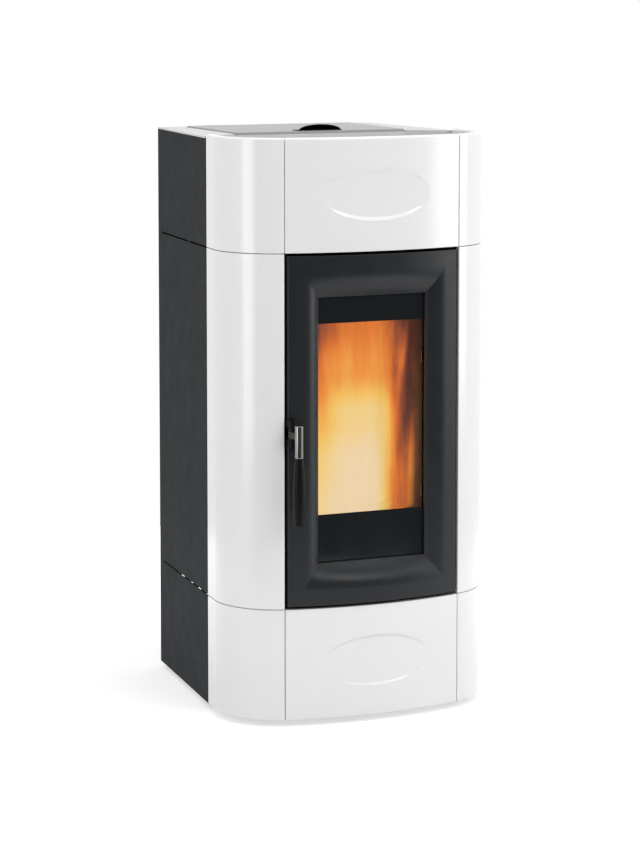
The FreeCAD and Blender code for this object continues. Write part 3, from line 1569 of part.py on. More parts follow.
# Power inlet with its switch housing, in the rear panel
def power_inlet():
    y1 = case_depth - sheet - seat_gap
    z = case_low + inlet_rise
    f = inlet_flange
    flange = box(inlet_x - inlet_half_width - f, inlet_x + inlet_half_width + f, y1, y1 + inlet_flange_sheet,
                 z - inlet_half_height - f, z + inlet_half_height + f)
    body = box(inlet_x - inlet_half_width, inlet_x + inlet_half_width, y1 - inlet_body_depth, y1,
               z - inlet_half_height, z + inlet_half_height)
    body = join(flange, body)
    y_out = y1 + inlet_flange_sheet
    zs = z - socket_drop
    socket = box(inlet_x - socket_half_width, inlet_x + socket_half_width, y_out - socket_depth, y_out + overrun,
                 zs - socket_half_height, zs + socket_half_height)
    zr = z + rocker_lift
    g = rocker_gap
    well = box(inlet_x - rocker_half_width - g, inlet_x + rocker_half_width + g, y_out - rocker_depth - 2 * g,
               y_out + overrun, zr - rocker_half_height - rocker_end_gap,
               zr + rocker_half_height + rocker_end_gap)
    body = body.cut([socket, well])
    pins = []
    p = socket_pin_half
    for dx, dz in ((-socket_pin_spread, 0), (socket_pin_spread, 0), (0, socket_pin_height)):
        pins.append(box(inlet_x + dx - p, inlet_x + dx + p, y_out - socket_depth - overrun, y_out - socket_depth / 3,
                        zs + dz - socket_pin_height, zs + dz + socket_pin_height))
    pivot_y = y_out - rocker_depth / 2
    pivot = rod_x(inlet_x - rocker_half_width - 2 * g, inlet_x + rocker_half_width + 2 * g, pivot_y, zr,
                  rocker_pivot_radius)
    return join(body, pivot, *pins)


def rocker_switch():
    y_out = case_depth - sheet - seat_gap + inlet_flange_sheet
    zr = case_low + inlet_rise + rocker_lift
    y_mid = y_out - rocker_depth / 2
    h = rocker_half_height
    lift = h * math.tan(math.radians(rocker_angle))
    y_back = y_mid - rocker_pivot_radius - pivot_gap * 2
    points = [(y_back, zr - h / 3), (y_out - lift / 2, zr - h), (y_out + rocker_proud / 2, zr),
              (y_out + rocker_proud + lift / 2, zr + h), (y_mid + lift / 2, zr + h), (y_back, zr + h / 3)]
    body = prism_x(points, inlet_x - rocker_half_width, inlet_x + rocker_half_width)
    return body.cut(rod_x(inlet_x - 2 * rocker_half_width, inlet_x + 2 * rocker_half_width, y_mid, zr,
                          rocker_pivot_radius + pivot_gap))


half_gap = tile_joint / 2
corner_rows = {
    "lower": (case_low, lower_joint - half_gap, tile_edge_round, tile_edge_round / 2),
    "middle": (lower_joint + half_gap, upper_joint - half_gap, tile_edge_round / 2, tile_edge_round / 2),
    "upper": (upper_joint + half_gap, ceramic_top, tile_edge_round / 2, rim_round),
}

nodes = {
    "base_tray": base_tray(),
    "front_frame": front_frame(),
    "side_panel_right": side_panel(),
    "rear_panel": rear_panel(),
    "top_deck": top_deck(),
    "well_tray": well_tray(),
    "upper_front_panel": front_panel(upper_joint + half_gap, ceramic_top, tile_edge_round, rim_round),
    "lower_front_panel": front_panel(case_low, lower_joint - half_gap, tile_edge_round, tile_edge_round),
    "door_frame": door_frame(),
    "door_inner_frame": door_inner_frame(),
    "door_glass": door_glass(),
    "glass_gasket": glass_gasket(),
    "glass_clips": glass_clips(),
    "door_seal": door_seal(),
    "hinge_brackets": hinge_brackets(),
    "handle_bracket": handle_bracket(),
    "handle_lever": handle_lever(),
    "handle_ferrule": handle_ferrule(),
    "handle_grip": handle_grip(),
    "firebox": firebox(),
    "firebox_liner": firebox_liner(),
    "baffle": baffle(),
    "pot_seat": pot_seat(),
    "burner_pot": burner_pot(),
    "ash_pan": ash_pan(),
    "igniter": igniter(),
    "air_intake_pipe": air_intake_pipe(),
    "exhaust_housing": exhaust_housing(),
    "exhaust_impeller": exhaust_impeller(),
    "exhaust_motor": exhaust_motor(),
    "room_fan_housing": blower_housing(),
    "room_fan_drum": blower_drum(),
    "hopper": hopper(),
    "auger_tube": auger_tube(),
    "auger_screw": auger_screw(),
    "gear_motor": gear_motor(),
    "drop_chute": drop_chute(),
    "hopper_lid": hopper_lid(),
    "lid_seal": lid_seal(),
    "lid_pull": lid_pull(),
    "control_panel": control_panel(),
    "control_box": control_box(),
    "power_inlet": power_inlet(),
    "rocker_switch": rocker_switch(),
}

nodes["side_panel_left"] = mirrored(nodes["side_panel_right"])
carrier = tile_carrier()
nodes["tile_carriers"] = Part.makeCompound([carrier, mirrored(carrier)])
for row, (low, high, low_round, high_round) in corner_rows.items():
    right = corner_tile(low, high, low_round, high_round)
    nodes["tile_right_" + row] = right
    nodes["tile_left_" + row] = mirrored(right)
foot_names = ("foot_front_left", "foot_front_right", "foot_rear_left", "foot_rear_right")
for name, (x, y) in zip(foot_names, foot_places()):
    nodes[name] = foot(x, y)
for number, (x, y) in enumerate(button_places(), 1):
    nodes["button_" + str(number)] = button(x, y)

# The origin moves to the middle of the overall plan, on the floor
front_most = min(shape.BoundBox.YMin for shape in nodes.values())
rear_most = max(shape.BoundBox.YMax for shape in nodes.values())
middle = (front_most + rear_most) / 2
for name, shape in nodes.items():
    shape.translate(V(0, -middle, 0))
    shape.exportStep("parts/" + name + ".step")
    solids = len(shape.Solids)
    print(name, solids, "valid" if shape.isValid() else "INVALID", round(shape.Volume / 1000, 1))
print("nodes", len(nodes), "depth shift", round(middle, 3))
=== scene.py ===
import bpy, json, math, random
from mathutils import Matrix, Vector


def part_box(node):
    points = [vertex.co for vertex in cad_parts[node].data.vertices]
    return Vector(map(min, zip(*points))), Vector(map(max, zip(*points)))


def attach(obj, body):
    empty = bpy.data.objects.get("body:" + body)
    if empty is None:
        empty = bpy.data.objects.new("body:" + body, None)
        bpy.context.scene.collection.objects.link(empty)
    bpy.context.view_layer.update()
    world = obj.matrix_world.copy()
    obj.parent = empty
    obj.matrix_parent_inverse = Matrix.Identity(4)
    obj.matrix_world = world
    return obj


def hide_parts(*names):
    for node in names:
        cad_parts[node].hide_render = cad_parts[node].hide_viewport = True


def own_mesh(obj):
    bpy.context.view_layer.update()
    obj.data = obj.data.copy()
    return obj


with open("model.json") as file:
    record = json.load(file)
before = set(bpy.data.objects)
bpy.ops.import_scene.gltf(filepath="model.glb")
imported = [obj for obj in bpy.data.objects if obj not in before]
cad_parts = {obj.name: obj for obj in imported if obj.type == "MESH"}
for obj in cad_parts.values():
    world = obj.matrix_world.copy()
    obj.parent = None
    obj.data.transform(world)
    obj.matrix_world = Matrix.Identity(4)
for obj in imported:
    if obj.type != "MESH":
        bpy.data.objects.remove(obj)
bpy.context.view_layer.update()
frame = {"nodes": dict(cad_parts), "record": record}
nodes = frame["nodes"]

# Plan of the casing in metres. Depths are counted from the ceramic's front-most line.
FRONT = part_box("upper_front_panel")[0].y
R_FRONT, CORNER, R_CORNER = 0.7, (0.1485665, 0.1449733), 0.1254335
A_CORNER, A_SIDE = math.radians(14.985), math.radians(95.37)
Z_JOINTS = {"lower": (0.012, 0.2263), "middle": (0.2277, 0.9043), "upper": (0.9057, 1.122)}
JOINT_X, JOINT_GAP, SIDE_END = 0.181, 0.0014, 0.205
FRONT_END = R_FRONT * A_CORNER
CORNER_END = FRONT_END + R_CORNER * (A_SIDE - A_CORNER)
SIDE_REACH = 0.2
HALVINGS = 50


def clamp(value):
    return max(0.0, min(1.0, value))


def smooth(t):
    t = clamp(t)
    return t * t * (3 - 2 * t)


def plan(s):
    """Point and outward direction at a distance s along the right half of the casing's outline."""
    if s <= FRONT_END:
        a = s / R_FRONT
        n = (math.sin(a), -math.cos(a))
        return (R_FRONT * n[0], R_FRONT + R_FRONT * n[1]), n
    if s <= CORNER_END:
        a = A_CORNER + (s - FRONT_END) / R_CORNER
        n = (math.sin(a), -math.cos(a))
        return (CORNER[0] + R_CORNER * n[0], CORNER[1] + R_CORNER * n[1]), n
    n = (math.sin(A_SIDE), -math.cos(A_SIDE))
    t = (-n[1], n[0])
    d = s - CORNER_END
    return (CORNER[0] + R_CORNER * n[0] + t[0] * d, CORNER[1] + R_CORNER * n[1] + t[1] * d), n


def find_s(test, low, high):
    """Distance along the outline at which the test turns false."""
    for _ in range(HALVINGS):
        mid = (low + high) / 2
        low, high = (mid, high) if test(mid) else (low, mid)
    return (low + high) / 2


# Materials
NOISE_LOW, NOISE_HIGH = 0.3, 0.7
TINT_SCALE, TINT_DETAIL = 9, 4.0
GLOSS_SCALE, GRAIN_DETAIL = 30, 2.0
BEVEL_SAMPLES = 4


def material(name, **sockets):
    """New material, its node tree and its shader with these values for its inputs."""
    mat = bpy.data.materials.new(name)
    mat.use_nodes = True
    bsdf = mat.node_tree.nodes["Principled BSDF"]
    for key, value in sockets.items():
        bsdf.inputs[key.replace("_", " ")].default_value = value
    return mat, mat.node_tree, bsdf


def shader(name, color, rough, metallic=0.0, **sockets):
    """New material that has its colour in the viewport too."""
    made = material(name, Base_Color=(*color, 1), Roughness=rough, Metallic=metallic, **sockets)
    made[0].diffuse_color = (*color, 1)
    return made


def put(tree, kind, **values):
    """New node. A name that isn't one of its settings is one of its inputs."""
    node = tree.nodes.new(kind)
    for key, value in values.items():
        if hasattr(node, key):
            setattr(node, key, value)
        else:
            node.inputs[key.replace("_", " ")].default_value = value
    return node


def combined(tree, operation, first, second, kind="ShaderNodeMath"):
    node = put(tree, kind, operation=operation)
    tree.links.new(first, node.inputs[0])
    tree.links.new(second, node.inputs[1])
    return node.outputs[0]


def stretched(tree, scale=(1, 1, 1)):
    coords = put(tree, "ShaderNodeTexCoord")
    mapping = put(tree, "ShaderNodeMapping")
    mapping.inputs["Scale"].default_value = scale
    tree.links.new(coords.outputs["Object"], mapping.inputs["Vector"])
    return mapping.outputs["Vector"]


def noise(tree, vector, scale, detail=3.0, rough=0.5):
    node = put(tree, "ShaderNodeTexNoise", Scale=scale, Detail=detail, Roughness=rough)
    tree.links.new(vector, node.inputs["Vector"])
    return node.outputs["Fac"]


def ramp(tree, value, stops):
    node = put(tree, "ShaderNodeValToRGB")
    elements = node.color_ramp.elements
    while len(elements) < len(stops):
        elements.new(0.5)
    for element, (place, color) in zip(elements, stops):
        element.position = place
        element.color = (*color, 1)
    tree.links.new(value, node.inputs["Fac"])
    return node.outputs["Color"]


def span(tree, value, low, high, a=0.0, b=1.0):
    node = put(tree, "ShaderNodeMapRange")
    for key, v in zip(("From Min", "From Max", "To Min", "To Max"), (low, high, a, b)):
        node.inputs[key].default_value = v
    tree.links.new(value, node.inputs["Value"])
    return node.outputs["Result"]


def tint(tree, bsdf, color, vector, scale, spread):
    """Colour wanders a little lighter and darker than it is written."""
    dark = tuple(c * (1 - spread) for c in color)
    pale = tuple(min(1, c * (1 + spread)) for c in color)
    fac = noise(tree, vector, scale, TINT_DETAIL)
    tree.links.new(ramp(tree, fac, [(NOISE_LOW, dark), (NOISE_HIGH, pale)]), bsdf.inputs["Base Color"])


def gloss(tree, bsdf, vector, scale, low, high):
    fac = noise(tree, vector, scale)
    tree.links.new(span(tree, fac, NOISE_LOW, NOISE_HIGH, low, high), bsdf.inputs["Roughness"])


def grain(tree, bsdf, vector, scale, strength, depth=0.0004, edge=0.0):
    """Fine relief, with the sharp edges of sheet and casting softened over the width edge."""
    fac = noise(tree, vector, scale, GRAIN_DETAIL)
    bump = put(tree, "ShaderNodeBump", Strength=strength, Distance=depth)
    tree.links.new(fac, bump.inputs["Height"])
    if edge:
        bevel = put(tree, "ShaderNodeBevel", Radius=edge)
        bevel.samples = BEVEL_SAMPLES
        tree.links.new(bevel.outputs["Normal"], bump.inputs["Normal"])
    tree.links.new(bump.outputs["Normal"], bsdf.inputs["Normal"])


def surface(name, color, rough, spread=0.06, grain_scale=900, grain_strength=0.2, depth=0.0004,
            edge=0.0006, metallic=0.0, stretch=(1, 1, 1), wander=0.04, **sockets):
    mat, tree, bsdf = shader(name, color, rough, metallic, **sockets)
    vector = stretched(tree, stretch)
    tint(tree, bsdf, color, vector, TINT_SCALE, spread)
    gloss(tree, bsdf, vector, GLOSS_SCALE, rough - wander, rough + wander)
    grain(tree, bsdf, vector, grain_scale, grain_strength, depth, edge)
    return mat


mats = {
    "glazed": surface(
        "white_glaze", (0.79, 0.785, 0.785), 0.20, spread=0.012, grain_scale=26, grain_strength=0.03,
        depth=0.002, edge=0.0, wander=0.02, Coat_Weight=0.7, Coat_Roughness=0.16, Specular_IOR_Level=0.5),
    "side_paint": surface(
        "anthracite_powder_coat", (0.024, 0.027, 0.029), 0.62, spread=0.03, grain_scale=1400,
        grain_strength=0.22, depth=0.0003, edge=0.0008, Specular_IOR_Level=0.04),
    "top_paint": surface(
        "pale_grey_powder_coat", (0.58, 0.585, 0.585), 0.42, spread=0.02, grain_scale=1500,
        grain_strength=0.18, depth=0.0003, edge=0.0008),
    "lid_paint": surface(
        "lid_powder_coat", (0.34, 0.345, 0.345), 0.42, spread=0.02, grain_scale=1500,
        grain_strength=0.18, depth=0.0003, edge=0.0008),
    "galvanised": surface(
        "zinc_sheet", (0.48, 0.49, 0.50), 0.42, spread=0.16, grain_scale=180, grain_strength=0.05,
        metallic=0.9),
    "black_steel": surface(
        "black_stove_paint", (0.018, 0.018, 0.019), 0.62, spread=0.12),
    "door_iron": surface(
        "cast_door_paint", (0.0135, 0.0150, 0.0170), 0.34, spread=0.05, grain_scale=800,
        grain_strength=0.10, depth=0.0003, edge=0.0018, Specular_IOR_Level=0.3),
    "fire_iron": surface(
        "burnt_cast_iron", (0.055, 0.045, 0.038), 0.75, spread=0.35, grain_scale=420,
        grain_strength=0.5, depth=0.0007),
    "lining": surface(
        "scorched_board", (0.42, 0.34, 0.25), 0.9, spread=0.22, grain_scale=260, grain_strength=0.5,
        depth=0.001),
    "rope": surface(
        "glass_fibre_rope", (0.10, 0.10, 0.10), 0.95, spread=0.2, grain_scale=420, grain_strength=0.8,
        depth=0.001, stretch=(1, 1, 0.35)),
    "chrome": surface(
        "chrome_plate", (0.30, 0.30, 0.285), 0.08, spread=0.02, grain_scale=120, grain_strength=0.01,
        metallic=1.0, wander=0.03, edge=0.0005),
    "steel": surface(
        "turned_steel", (0.46, 0.46, 0.47), 0.3, grain_scale=300, grain_strength=0.08, metallic=1.0,
        stretch=(6, 6, 0.4)),
    "black_plastic": surface(
        "black_moulding", (0.005, 0.0055, 0.006), 0.38, spread=0.1, grain_scale=1600,
        grain_strength=0.12, depth=0.0002, Specular_IOR_Level=0.10),
    "gloss_black": surface(
        "gloss_black_moulding", (0.006, 0.0065, 0.007), 0.24, spread=0.1, grain_scale=60,
        grain_strength=0.01, wander=0.03, Specular_IOR_Level=0.2),
    "key_plastic": surface(
        "grey_key", (0.34, 0.35, 0.36), 0.38, spread=0.03, grain_scale=1600, grain_strength=0.1,
        depth=0.0002),
    "seal_rubber": surface(
        "black_rubber", (0.02, 0.02, 0.02), 0.8, spread=0.15, grain_strength=0.3),
    "aluminium": surface(
        "die_cast_alloy", (0.56, 0.57, 0.58), 0.38, grain_scale=700, metallic=1.0),
}

# Where the firebox turns from its black outside to the walls within: half width, depth and floor
CHAMBER_X = (0.1302, 0.1290)
CHAMBER_Y = (0.3335, 0.3322)
CHAMBER_Z = (0.3035, 0.3048)
ASH_DARK, ASH_PALE = (0.050, 0.030, 0.029), (0.10, 0.060, 0.054)
BLACK_DARK, BLACK_PALE = (0.014, 0.014, 0.014), (0.022, 0.022, 0.022)


def chamber_steel():
    """Firebox: black outside, burnt ash film on the walls that the fire heats."""
    mat, tree, bsdf = shader("firebox_steel", (0.03, 0.03, 0.03), 0.8)
    vector = stretched(tree)
    parts = put(tree, "ShaderNodeSeparateXYZ")
    tree.links.new(vector, parts.inputs[0])
    half = put(tree, "ShaderNodeMath", operation="ABSOLUTE")
    tree.links.new(parts.outputs["X"], half.inputs[0])
    inside_x = span(tree, half.outputs[0], *CHAMBER_X)
    inside_y = span(tree, parts.outputs["Y"], FRONT + CHAMBER_Y[0], FRONT + CHAMBER_Y[1])
    inside_z = span(tree, parts.outputs["Z"], *CHAMBER_Z)
    inside = combined(tree, "MULTIPLY", combined(tree, "MULTIPLY", inside_x, inside_y), inside_z)
    ash = ramp(tree, noise(tree, vector, 22, 6, 0.6), [(NOISE_LOW, ASH_DARK), (NOISE_HIGH, ASH_PALE)])
    paint = noise(tree, vector, TINT_SCALE, TINT_DETAIL)
    out = ramp(tree, paint, [(NOISE_LOW, BLACK_DARK), (NOISE_HIGH, BLACK_PALE)])
    mix = put(tree, "ShaderNodeMix", data_type="RGBA")
    colours = [socket for socket in mix.inputs if socket.type == "RGBA"]
    tree.links.new(inside, mix.inputs[0])
    tree.links.new(out, colours[0])
    tree.links.new(ash, colours[1])
    blended = next(socket for socket in mix.outputs if socket.type == "RGBA")
    tree.links.new(blended, bsdf.inputs["Base Color"])
    grain(tree, bsdf, vector, 400, 0.4, 0.0006, edge=0.0006)
    return mat


def pane_glass():
    mat, tree, bsdf = shader("fire_glass", (0.985, 0.975, 0.96), 0.02, Transmission_Weight=1.0, IOR=1.45,
                             Specular_IOR_Level=0.2)
    vector = stretched(tree)
    gloss(tree, bsdf, vector, 8, 0.005, 0.03)
    grain(tree, bsdf, vector, 12, 0.006, 0.002)
    return mat


mats["glass"] = pane_glass()
# Pieces that look other than their slot's material
OWN_LOOK = {"firebox": chamber_steel(), "handle_lever": mats["gloss_black"], "hopper_lid": mats["lid_paint"],
            "handle_bracket": mats["black_plastic"]}
for spec in frame["record"]["subparts"]:
    materials = nodes[spec["node"]].data.materials
    materials.clear()
    materials.append(OWN_LOOK.get(spec["node"], mats[spec["material_slot"]]))


def mesh_piece(name, verts, faces, mat, body, rounded=True, replace=()):
    me = bpy.data.meshes.new(name)
    me.from_pydata(verts, [], faces)
    me.update()
    me.materials.append(mat)
    if rounded:
        me.shade_smooth()
    ob = bpy.data.objects.new(name, me)
    bpy.context.scene.collection.objects.link(ob)
    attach(ob, body)
    if replace:
        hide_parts(*replace)
    return ob


# Ceramic: each tile is a closed loop in plan, carried up with rounded edges
EDGE_RADIUS, LEAST_RADIUS, ARC_STEPS = 0.0014, 0.00015, 5
R_FOOT, R_SEAM, R_TOP = 0.0024, 0.0006, 0.0045
CLEAR_SHARE, CLEAR_MORE = 1.06, 0.0006
ROUND_STEPS, FLAT_SHARE = 8, 1.1


def turned(a):
    return Vector((math.cos(a), math.sin(a)))


def corner_arc(before, corner, after):
    """Points round a corner, each as the corner, the way in from it and the way out to the point."""
    q = Vector(corner)
    u = (Vector(before) - q).normalized()
    w = (Vector(after) - q).normalized()
    half = math.acos(max(-1, min(1, u.dot(w)))) / 2
    cut = EDGE_RADIUS / math.tan(half)
    into = (u + w).normalized() / math.sin(half)
    middle = q + into * EDGE_RADIUS
    a, c = q + u * cut - middle, q + w * cut - middle
    a0, a1 = math.atan2(a.y, a.x), math.atan2(c.y, c.x)
    turn = (a1 - a0 + math.pi) % (2 * math.pi) - math.pi
    return [(q, into, turned(a0 + turn * i / ARC_STEPS)) for i in range(ARC_STEPS + 1)]


def rounded_loop(outer, inner, clear):
    """Outer and inner run of plan points, joined at both ends, and where the outer run lies in the loop."""
    def between(run):
        first, last = Vector(run[0]), Vector(run[-1])
        points = [Vector(p) for p in run[1:-1]]
        return [(p, None, None) for p in points if min((p - first).length, (p - last).length) > clear]

    start = corner_arc(inner[0], outer[0], outer[1])
    end = corner_arc(outer[-2], outer[-1], inner[-1])
    back_end = corner_arc(outer[-1], inner[-1], inner[-2])
    back_start = corner_arc(inner[1], inner[0], outer[0])
    keep = between(outer)
    loop = start + keep + end + back_end + between(inner)[::-1] + back_start
    return loop, (len(start), len(start) + len(keep))


def shrunk(entry, normal, inset):
    """Place of a loop's point when the loop is drawn in by the inset."""
    place, into, out = entry
    if into is None:
        return place - normal * inset
    radius = max(EDGE_RADIUS - inset, LEAST_RADIUS)
    return place + into * (inset + radius) + out * radius


def loop_area(loop):
    return sum(loop[i - 1].cross(loop[i]) for i in range(len(loop)))


def loop_normals(loop):
    n = len(loop)
    ways = [(loop[(i + 1) % n] - loop[i - 1]).normalized() for i in range(n)]
    sign = 1 if loop_area(loop) > 0 else -1
    return [Vector((t.y, -t.x)) * sign for t in ways]


def rounded_levels(z0, z1, r_low, r_high, rows):
    """Heights from the foot to the top, each with how far the loop is drawn in there."""
    angles = [math.pi / 2 * i / ROUND_STEPS for i in range(ROUND_STEPS + 1)]
    low = [(z0 + r_low * (1 - math.cos(a)), r_low * (1 - math.sin(a))) for a in angles]
    flat = [(z, 0.0) for z in rows if z0 + r_low * FLAT_SHARE < z < z1 - r_high * FLAT_SHARE]
    high = [(z1 - r_high * (1 - math.cos(a)), r_high * (1 - math.sin(a))) for a in reversed(angles)]
    return low + flat + high


def ceramic(name, runs, z0, z1, r_low, r_high, node, rows, dent=None):
    entries, (o0, o1) = rounded_loop(*runs, CLEAR_SHARE * max(r_low, r_high) + CLEAR_MORE)
    loop = [shrunk(e, Vector((0, 0)), 0.0) for e in entries]
    normals = loop_normals(loop)
    levels = rounded_levels(z0, z1, r_low, r_high, rows)
    verts, faces = [], []
    n = len(loop)
    for z, inset in levels:
        for i, entry in enumerate(entries):
            px, py = shrunk(entry, normals[i], inset)
            if dent and o0 <= i < o1:
                py += dent(loop[i].x, z)
            verts.append((px, py + FRONT, z))
    for k in range(len(levels) - 1):
        for i in range(n):
            j = (i + 1) % n
            faces.append((k * n + i, k * n + j, (k + 1) * n + j, (k + 1) * n + i))
    faces.append(tuple(reversed(range(n))))
    faces.append(tuple(range((len(levels) - 1) * n, len(levels) * n)))
    if loop_area(loop) < 0:
        faces = [tuple(reversed(f)) for f in faces]
    mesh_piece(name, verts, faces, mats["glazed"], "casing", replace=(node,))


S_JOINT = find_s(lambda s: plan(s)[0][0] < JOINT_X + JOINT_GAP / 2, 0, CORNER_END)
S_END = find_s(lambda s: plan(s)[0][1] < SIDE_END - JOINT_GAP / 2, FRONT_END, CORNER_END + SIDE_REACH)
RIM, RIM_CLEAR = 0.016, 0.004
CORNER_STEPS, OUTER_STEPS, INNER_STEPS = 56, 148, 24
TILE_ROWS, PANEL_ROWS = 24, 16


def corner_runs(side):
    outer, inner = [], []
    for i in range(CORNER_STEPS + 1):
        (x, y), n = plan(S_JOINT + (S_END - S_JOINT) * i / CORNER_STEPS)
        outer.append((side * x, y))
        ix = x if i == 0 else x - n[0] * RIM
        iy = y if i == CORNER_STEPS else y - n[1] * RIM
        inner.append((side * ix, iy))
    middle = [p for p in inner[1:-1] if abs(p[0]) > JOINT_X + RIM_CLEAR and p[1] < SIDE_END - RIM_CLEAR]
    return outer, [inner[0]] + middle + [inner[-1]]


def front_runs():
    half = JOINT_X - JOINT_GAP / 2

    def bow(radius, steps):
        xs = [-half + 2 * half * i / steps for i in range(steps + 1)]
        return [(x, R_FRONT - math.sqrt(radius ** 2 - x * x)) for x in xs]

    return bow(R_FRONT, OUTER_STEPS), bow(R_FRONT - RIM, INNER_STEPS)


OVAL_X, OVAL_Z, OVAL_DEEP = 0.112, 0.048, 0.0032
OVAL_SOFT, OVAL_SOFT_OUT = 0.006, 0.3
OVAL_ROWS, OVAL_ROW = 73, 0.0015
OVAL_REACH = OVAL_ROW * (OVAL_ROWS - 1) / 2
LEAST_ROW = 0.0008
SAG = R_FRONT - math.sqrt(R_FRONT ** 2 - OVAL_X ** 2) - OVAL_DEEP
R_FLOOR = (OVAL_X ** 2 + SAG ** 2) / (2 * SAG)


def oval(z_mid):
    """Depth of the sunken oval at a place on a front panel, with a soft glazed edge."""
    def dent(x, z):
        if abs(x) > OVAL_X:
            return 0.0
        floor = OVAL_DEEP + R_FLOOR - math.sqrt(R_FLOOR ** 2 - x * x)
        deep = floor - (R_FRONT - math.sqrt(R_FRONT ** 2 - x * x))
        edge = OVAL_Z * math.sqrt(max(0.0, 1 - (x / OVAL_X) ** 2))
        return max(0.0, deep) * smooth((edge - abs(z - z_mid)) / OVAL_SOFT + OVAL_SOFT_OUT)
    return dent


def panel_rows(z0, z1, mid):
    """Heights of a front panel's rows, close together over the oval."""
    wide = [z0 + (z1 - z0) * i / PANEL_ROWS for i in range(1, PANEL_ROWS)]
    rows = sorted(wide + [mid - OVAL_REACH + OVAL_ROW * i for i in range(OVAL_ROWS)])
    clean = [rows[0]]
    for z in rows[1:]:
        if z - clean[-1] > LEAST_ROW:
            clean.append(z)
    return clean


for row, (z0, z1) in Z_JOINTS.items():
    r_low = R_FOOT if row == "lower" else R_SEAM
    r_high = R_TOP if row == "upper" else R_SEAM
    for side, word in ((-1, "left"), (1, "right")):
        rows = [z0 + (z1 - z0) * i / TILE_ROWS for i in range(1, TILE_ROWS)]
        node = "tile_%s_%s" % (word, row)
        ceramic("glazed_" + node, corner_runs(side), z0, z1, r_low, r_high, node, rows)
for row, r_low, r_high in (("lower", R_FOOT, R_SEAM), ("upper", R_SEAM, R_TOP)):
    z0, z1 = Z_JOINTS[row]
    mid = (z0 + z1) / 2
    ceramic("glazed_%s_front" % row, front_runs(), z0, z1, r_low, r_high, row + "_front_panel",
            panel_rows(z0, z1, mid), oval(mid))


# Printed bands on the front of the pane, below and above the clear part
g0, g1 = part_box("door_glass")
BAND_LOW, BAND_HIGH = 0.402, 0.768
BAND_MARGIN, BAND_NEAR, BAND_FAR = 0.0004, 0.00025, 0.00005
BOX_FACES = [(0, 1, 3, 2), (4, 6, 7, 5), (0, 4, 5, 1), (2, 3, 7, 6), (0, 2, 6, 4), (1, 5, 7, 3)]
band_print = surface(
    "black_glass_print", (0.0100, 0.0115, 0.0130), 0.09, spread=0.1, grain_scale=14, grain_strength=0.006,
    depth=0.002, edge=0.0, wander=0.03, Specular_IOR_Level=0.25)


def glass_band(name, z_low, z_high):
    verts = [(x, y, z) for x in (g0.x + BAND_MARGIN, g1.x - BAND_MARGIN)
             for y in (g0.y - BAND_NEAR, g0.y - BAND_FAR) for z in (z_low, z_high)]
    mesh_piece(name, verts, BOX_FACES, band_print, "door", rounded=False)


glass_band("glass_band_lower", g0.z + BAND_MARGIN, BAND_LOW)
glass_band("glass_band_upper", BAND_HIGH, g1.z - BAND_MARGIN)


# Fire: sheets of flame one behind the other, coloured by how hot and how dense they are. At the right edge
# of the pane they also paint the glow of the firelit right wall of the firebox as flame
FLAME_COLOURS = [(0.0, (0.055, 0.024, 0.029)), (0.16, (0.125, 0.036, 0.030)), (0.30, (0.38, 0.090, 0.035)),
                 (0.44, (0.78, 0.19, 0.035)), (0.58, (0.92, 0.33, 0.06)), (0.72, (0.97, 0.58, 0.13)),
                 (0.84, (0.95, 0.68, 0.27)), (1.0, (0.93, 0.71, 0.45))]
DRAWN_UP = (1, 1, 0.16)
SWIRL_SCALE, SWIRL_DETAIL, SWIRL_BEND = 9.0, 2.0, 0.05
WISP_SCALE, WISP_SWING = 30, 0.13
# Each as two values of what comes in and the two it becomes: hot flame flickers less, and wisps thin it out
CALM, THIN = (0.15, 1.0, 1.0, 0.35), (0.30, 0.55, 0.55, 1.0)


def flame_material():
    mat, tree, bsdf = material("flame", Base_Color=(0, 0, 0, 1), Roughness=1.0, Specular_IOR_Level=0.0,
                               Emission_Strength=1.0)
    flow = stretched(tree, DRAWN_UP)
    swirl = put(tree, "ShaderNodeTexNoise", Scale=SWIRL_SCALE, Detail=SWIRL_DETAIL)
    tree.links.new(flow, swirl.inputs["Vector"])
    centred = put(tree, "ShaderNodeVectorMath", operation="SUBTRACT")
    centred.inputs[1].default_value = (0.5, 0.5, 0.5)
    tree.links.new(swirl.outputs["Color"], centred.inputs[0])
    scaled = put(tree, "ShaderNodeVectorMath", operation="SCALE")
    scaled.inputs["Scale"].default_value = SWIRL_BEND
    tree.links.new(centred.outputs[0], scaled.inputs[0])
    bent = combined(tree, "ADD", flow, scaled.outputs[0], "ShaderNodeVectorMath")
    wisps = noise(tree, bent, WISP_SCALE)
    warmth = put(tree, "ShaderNodeAttribute", attribute_name="warmth").outputs["Fac"]
    cover = put(tree, "ShaderNodeAttribute", attribute_name="cover").outputs["Fac"]
    swing = combined(tree, "MULTIPLY", span(tree, wisps, NOISE_LOW, NOISE_HIGH, -WISP_SWING, WISP_SWING),
                     span(tree, warmth, *CALM))
    color = ramp(tree, combined(tree, "ADD", warmth, swing), FLAME_COLOURS)
    tree.links.new(color, bsdf.inputs["Emission Color"])
    fade = combined(tree, "MULTIPLY", cover, span(tree, wisps, *THIN))
    tree.links.new(fade, bsdf.inputs["Alpha"])
    return mat


flame = flame_material()
Z_FLAME, Z_TOP = 0.352, 0.776
Z_FOOT, Z_POT_FOOT = 0.370, 0.372
POT_DEPTH, POT_REACH, POT_LIFT = 0.257, 0.04, 0.08
FLAME_COLS, FLAME_ROWS = 44, 56
FOOT_HALF, FLAME_HALF, FOOT_RISE = 0.050, 0.123, 0.022
FLAME_BOW = 0.010
# Waves of a sheet: how often across it, where they start and how deep, each drawn between two limits
WAVE_LIMITS, WAVE_COUNT, WAVE_CLIMB = ((4, 9), (0, 6.28), (0.002, 0.005)), 3, 5
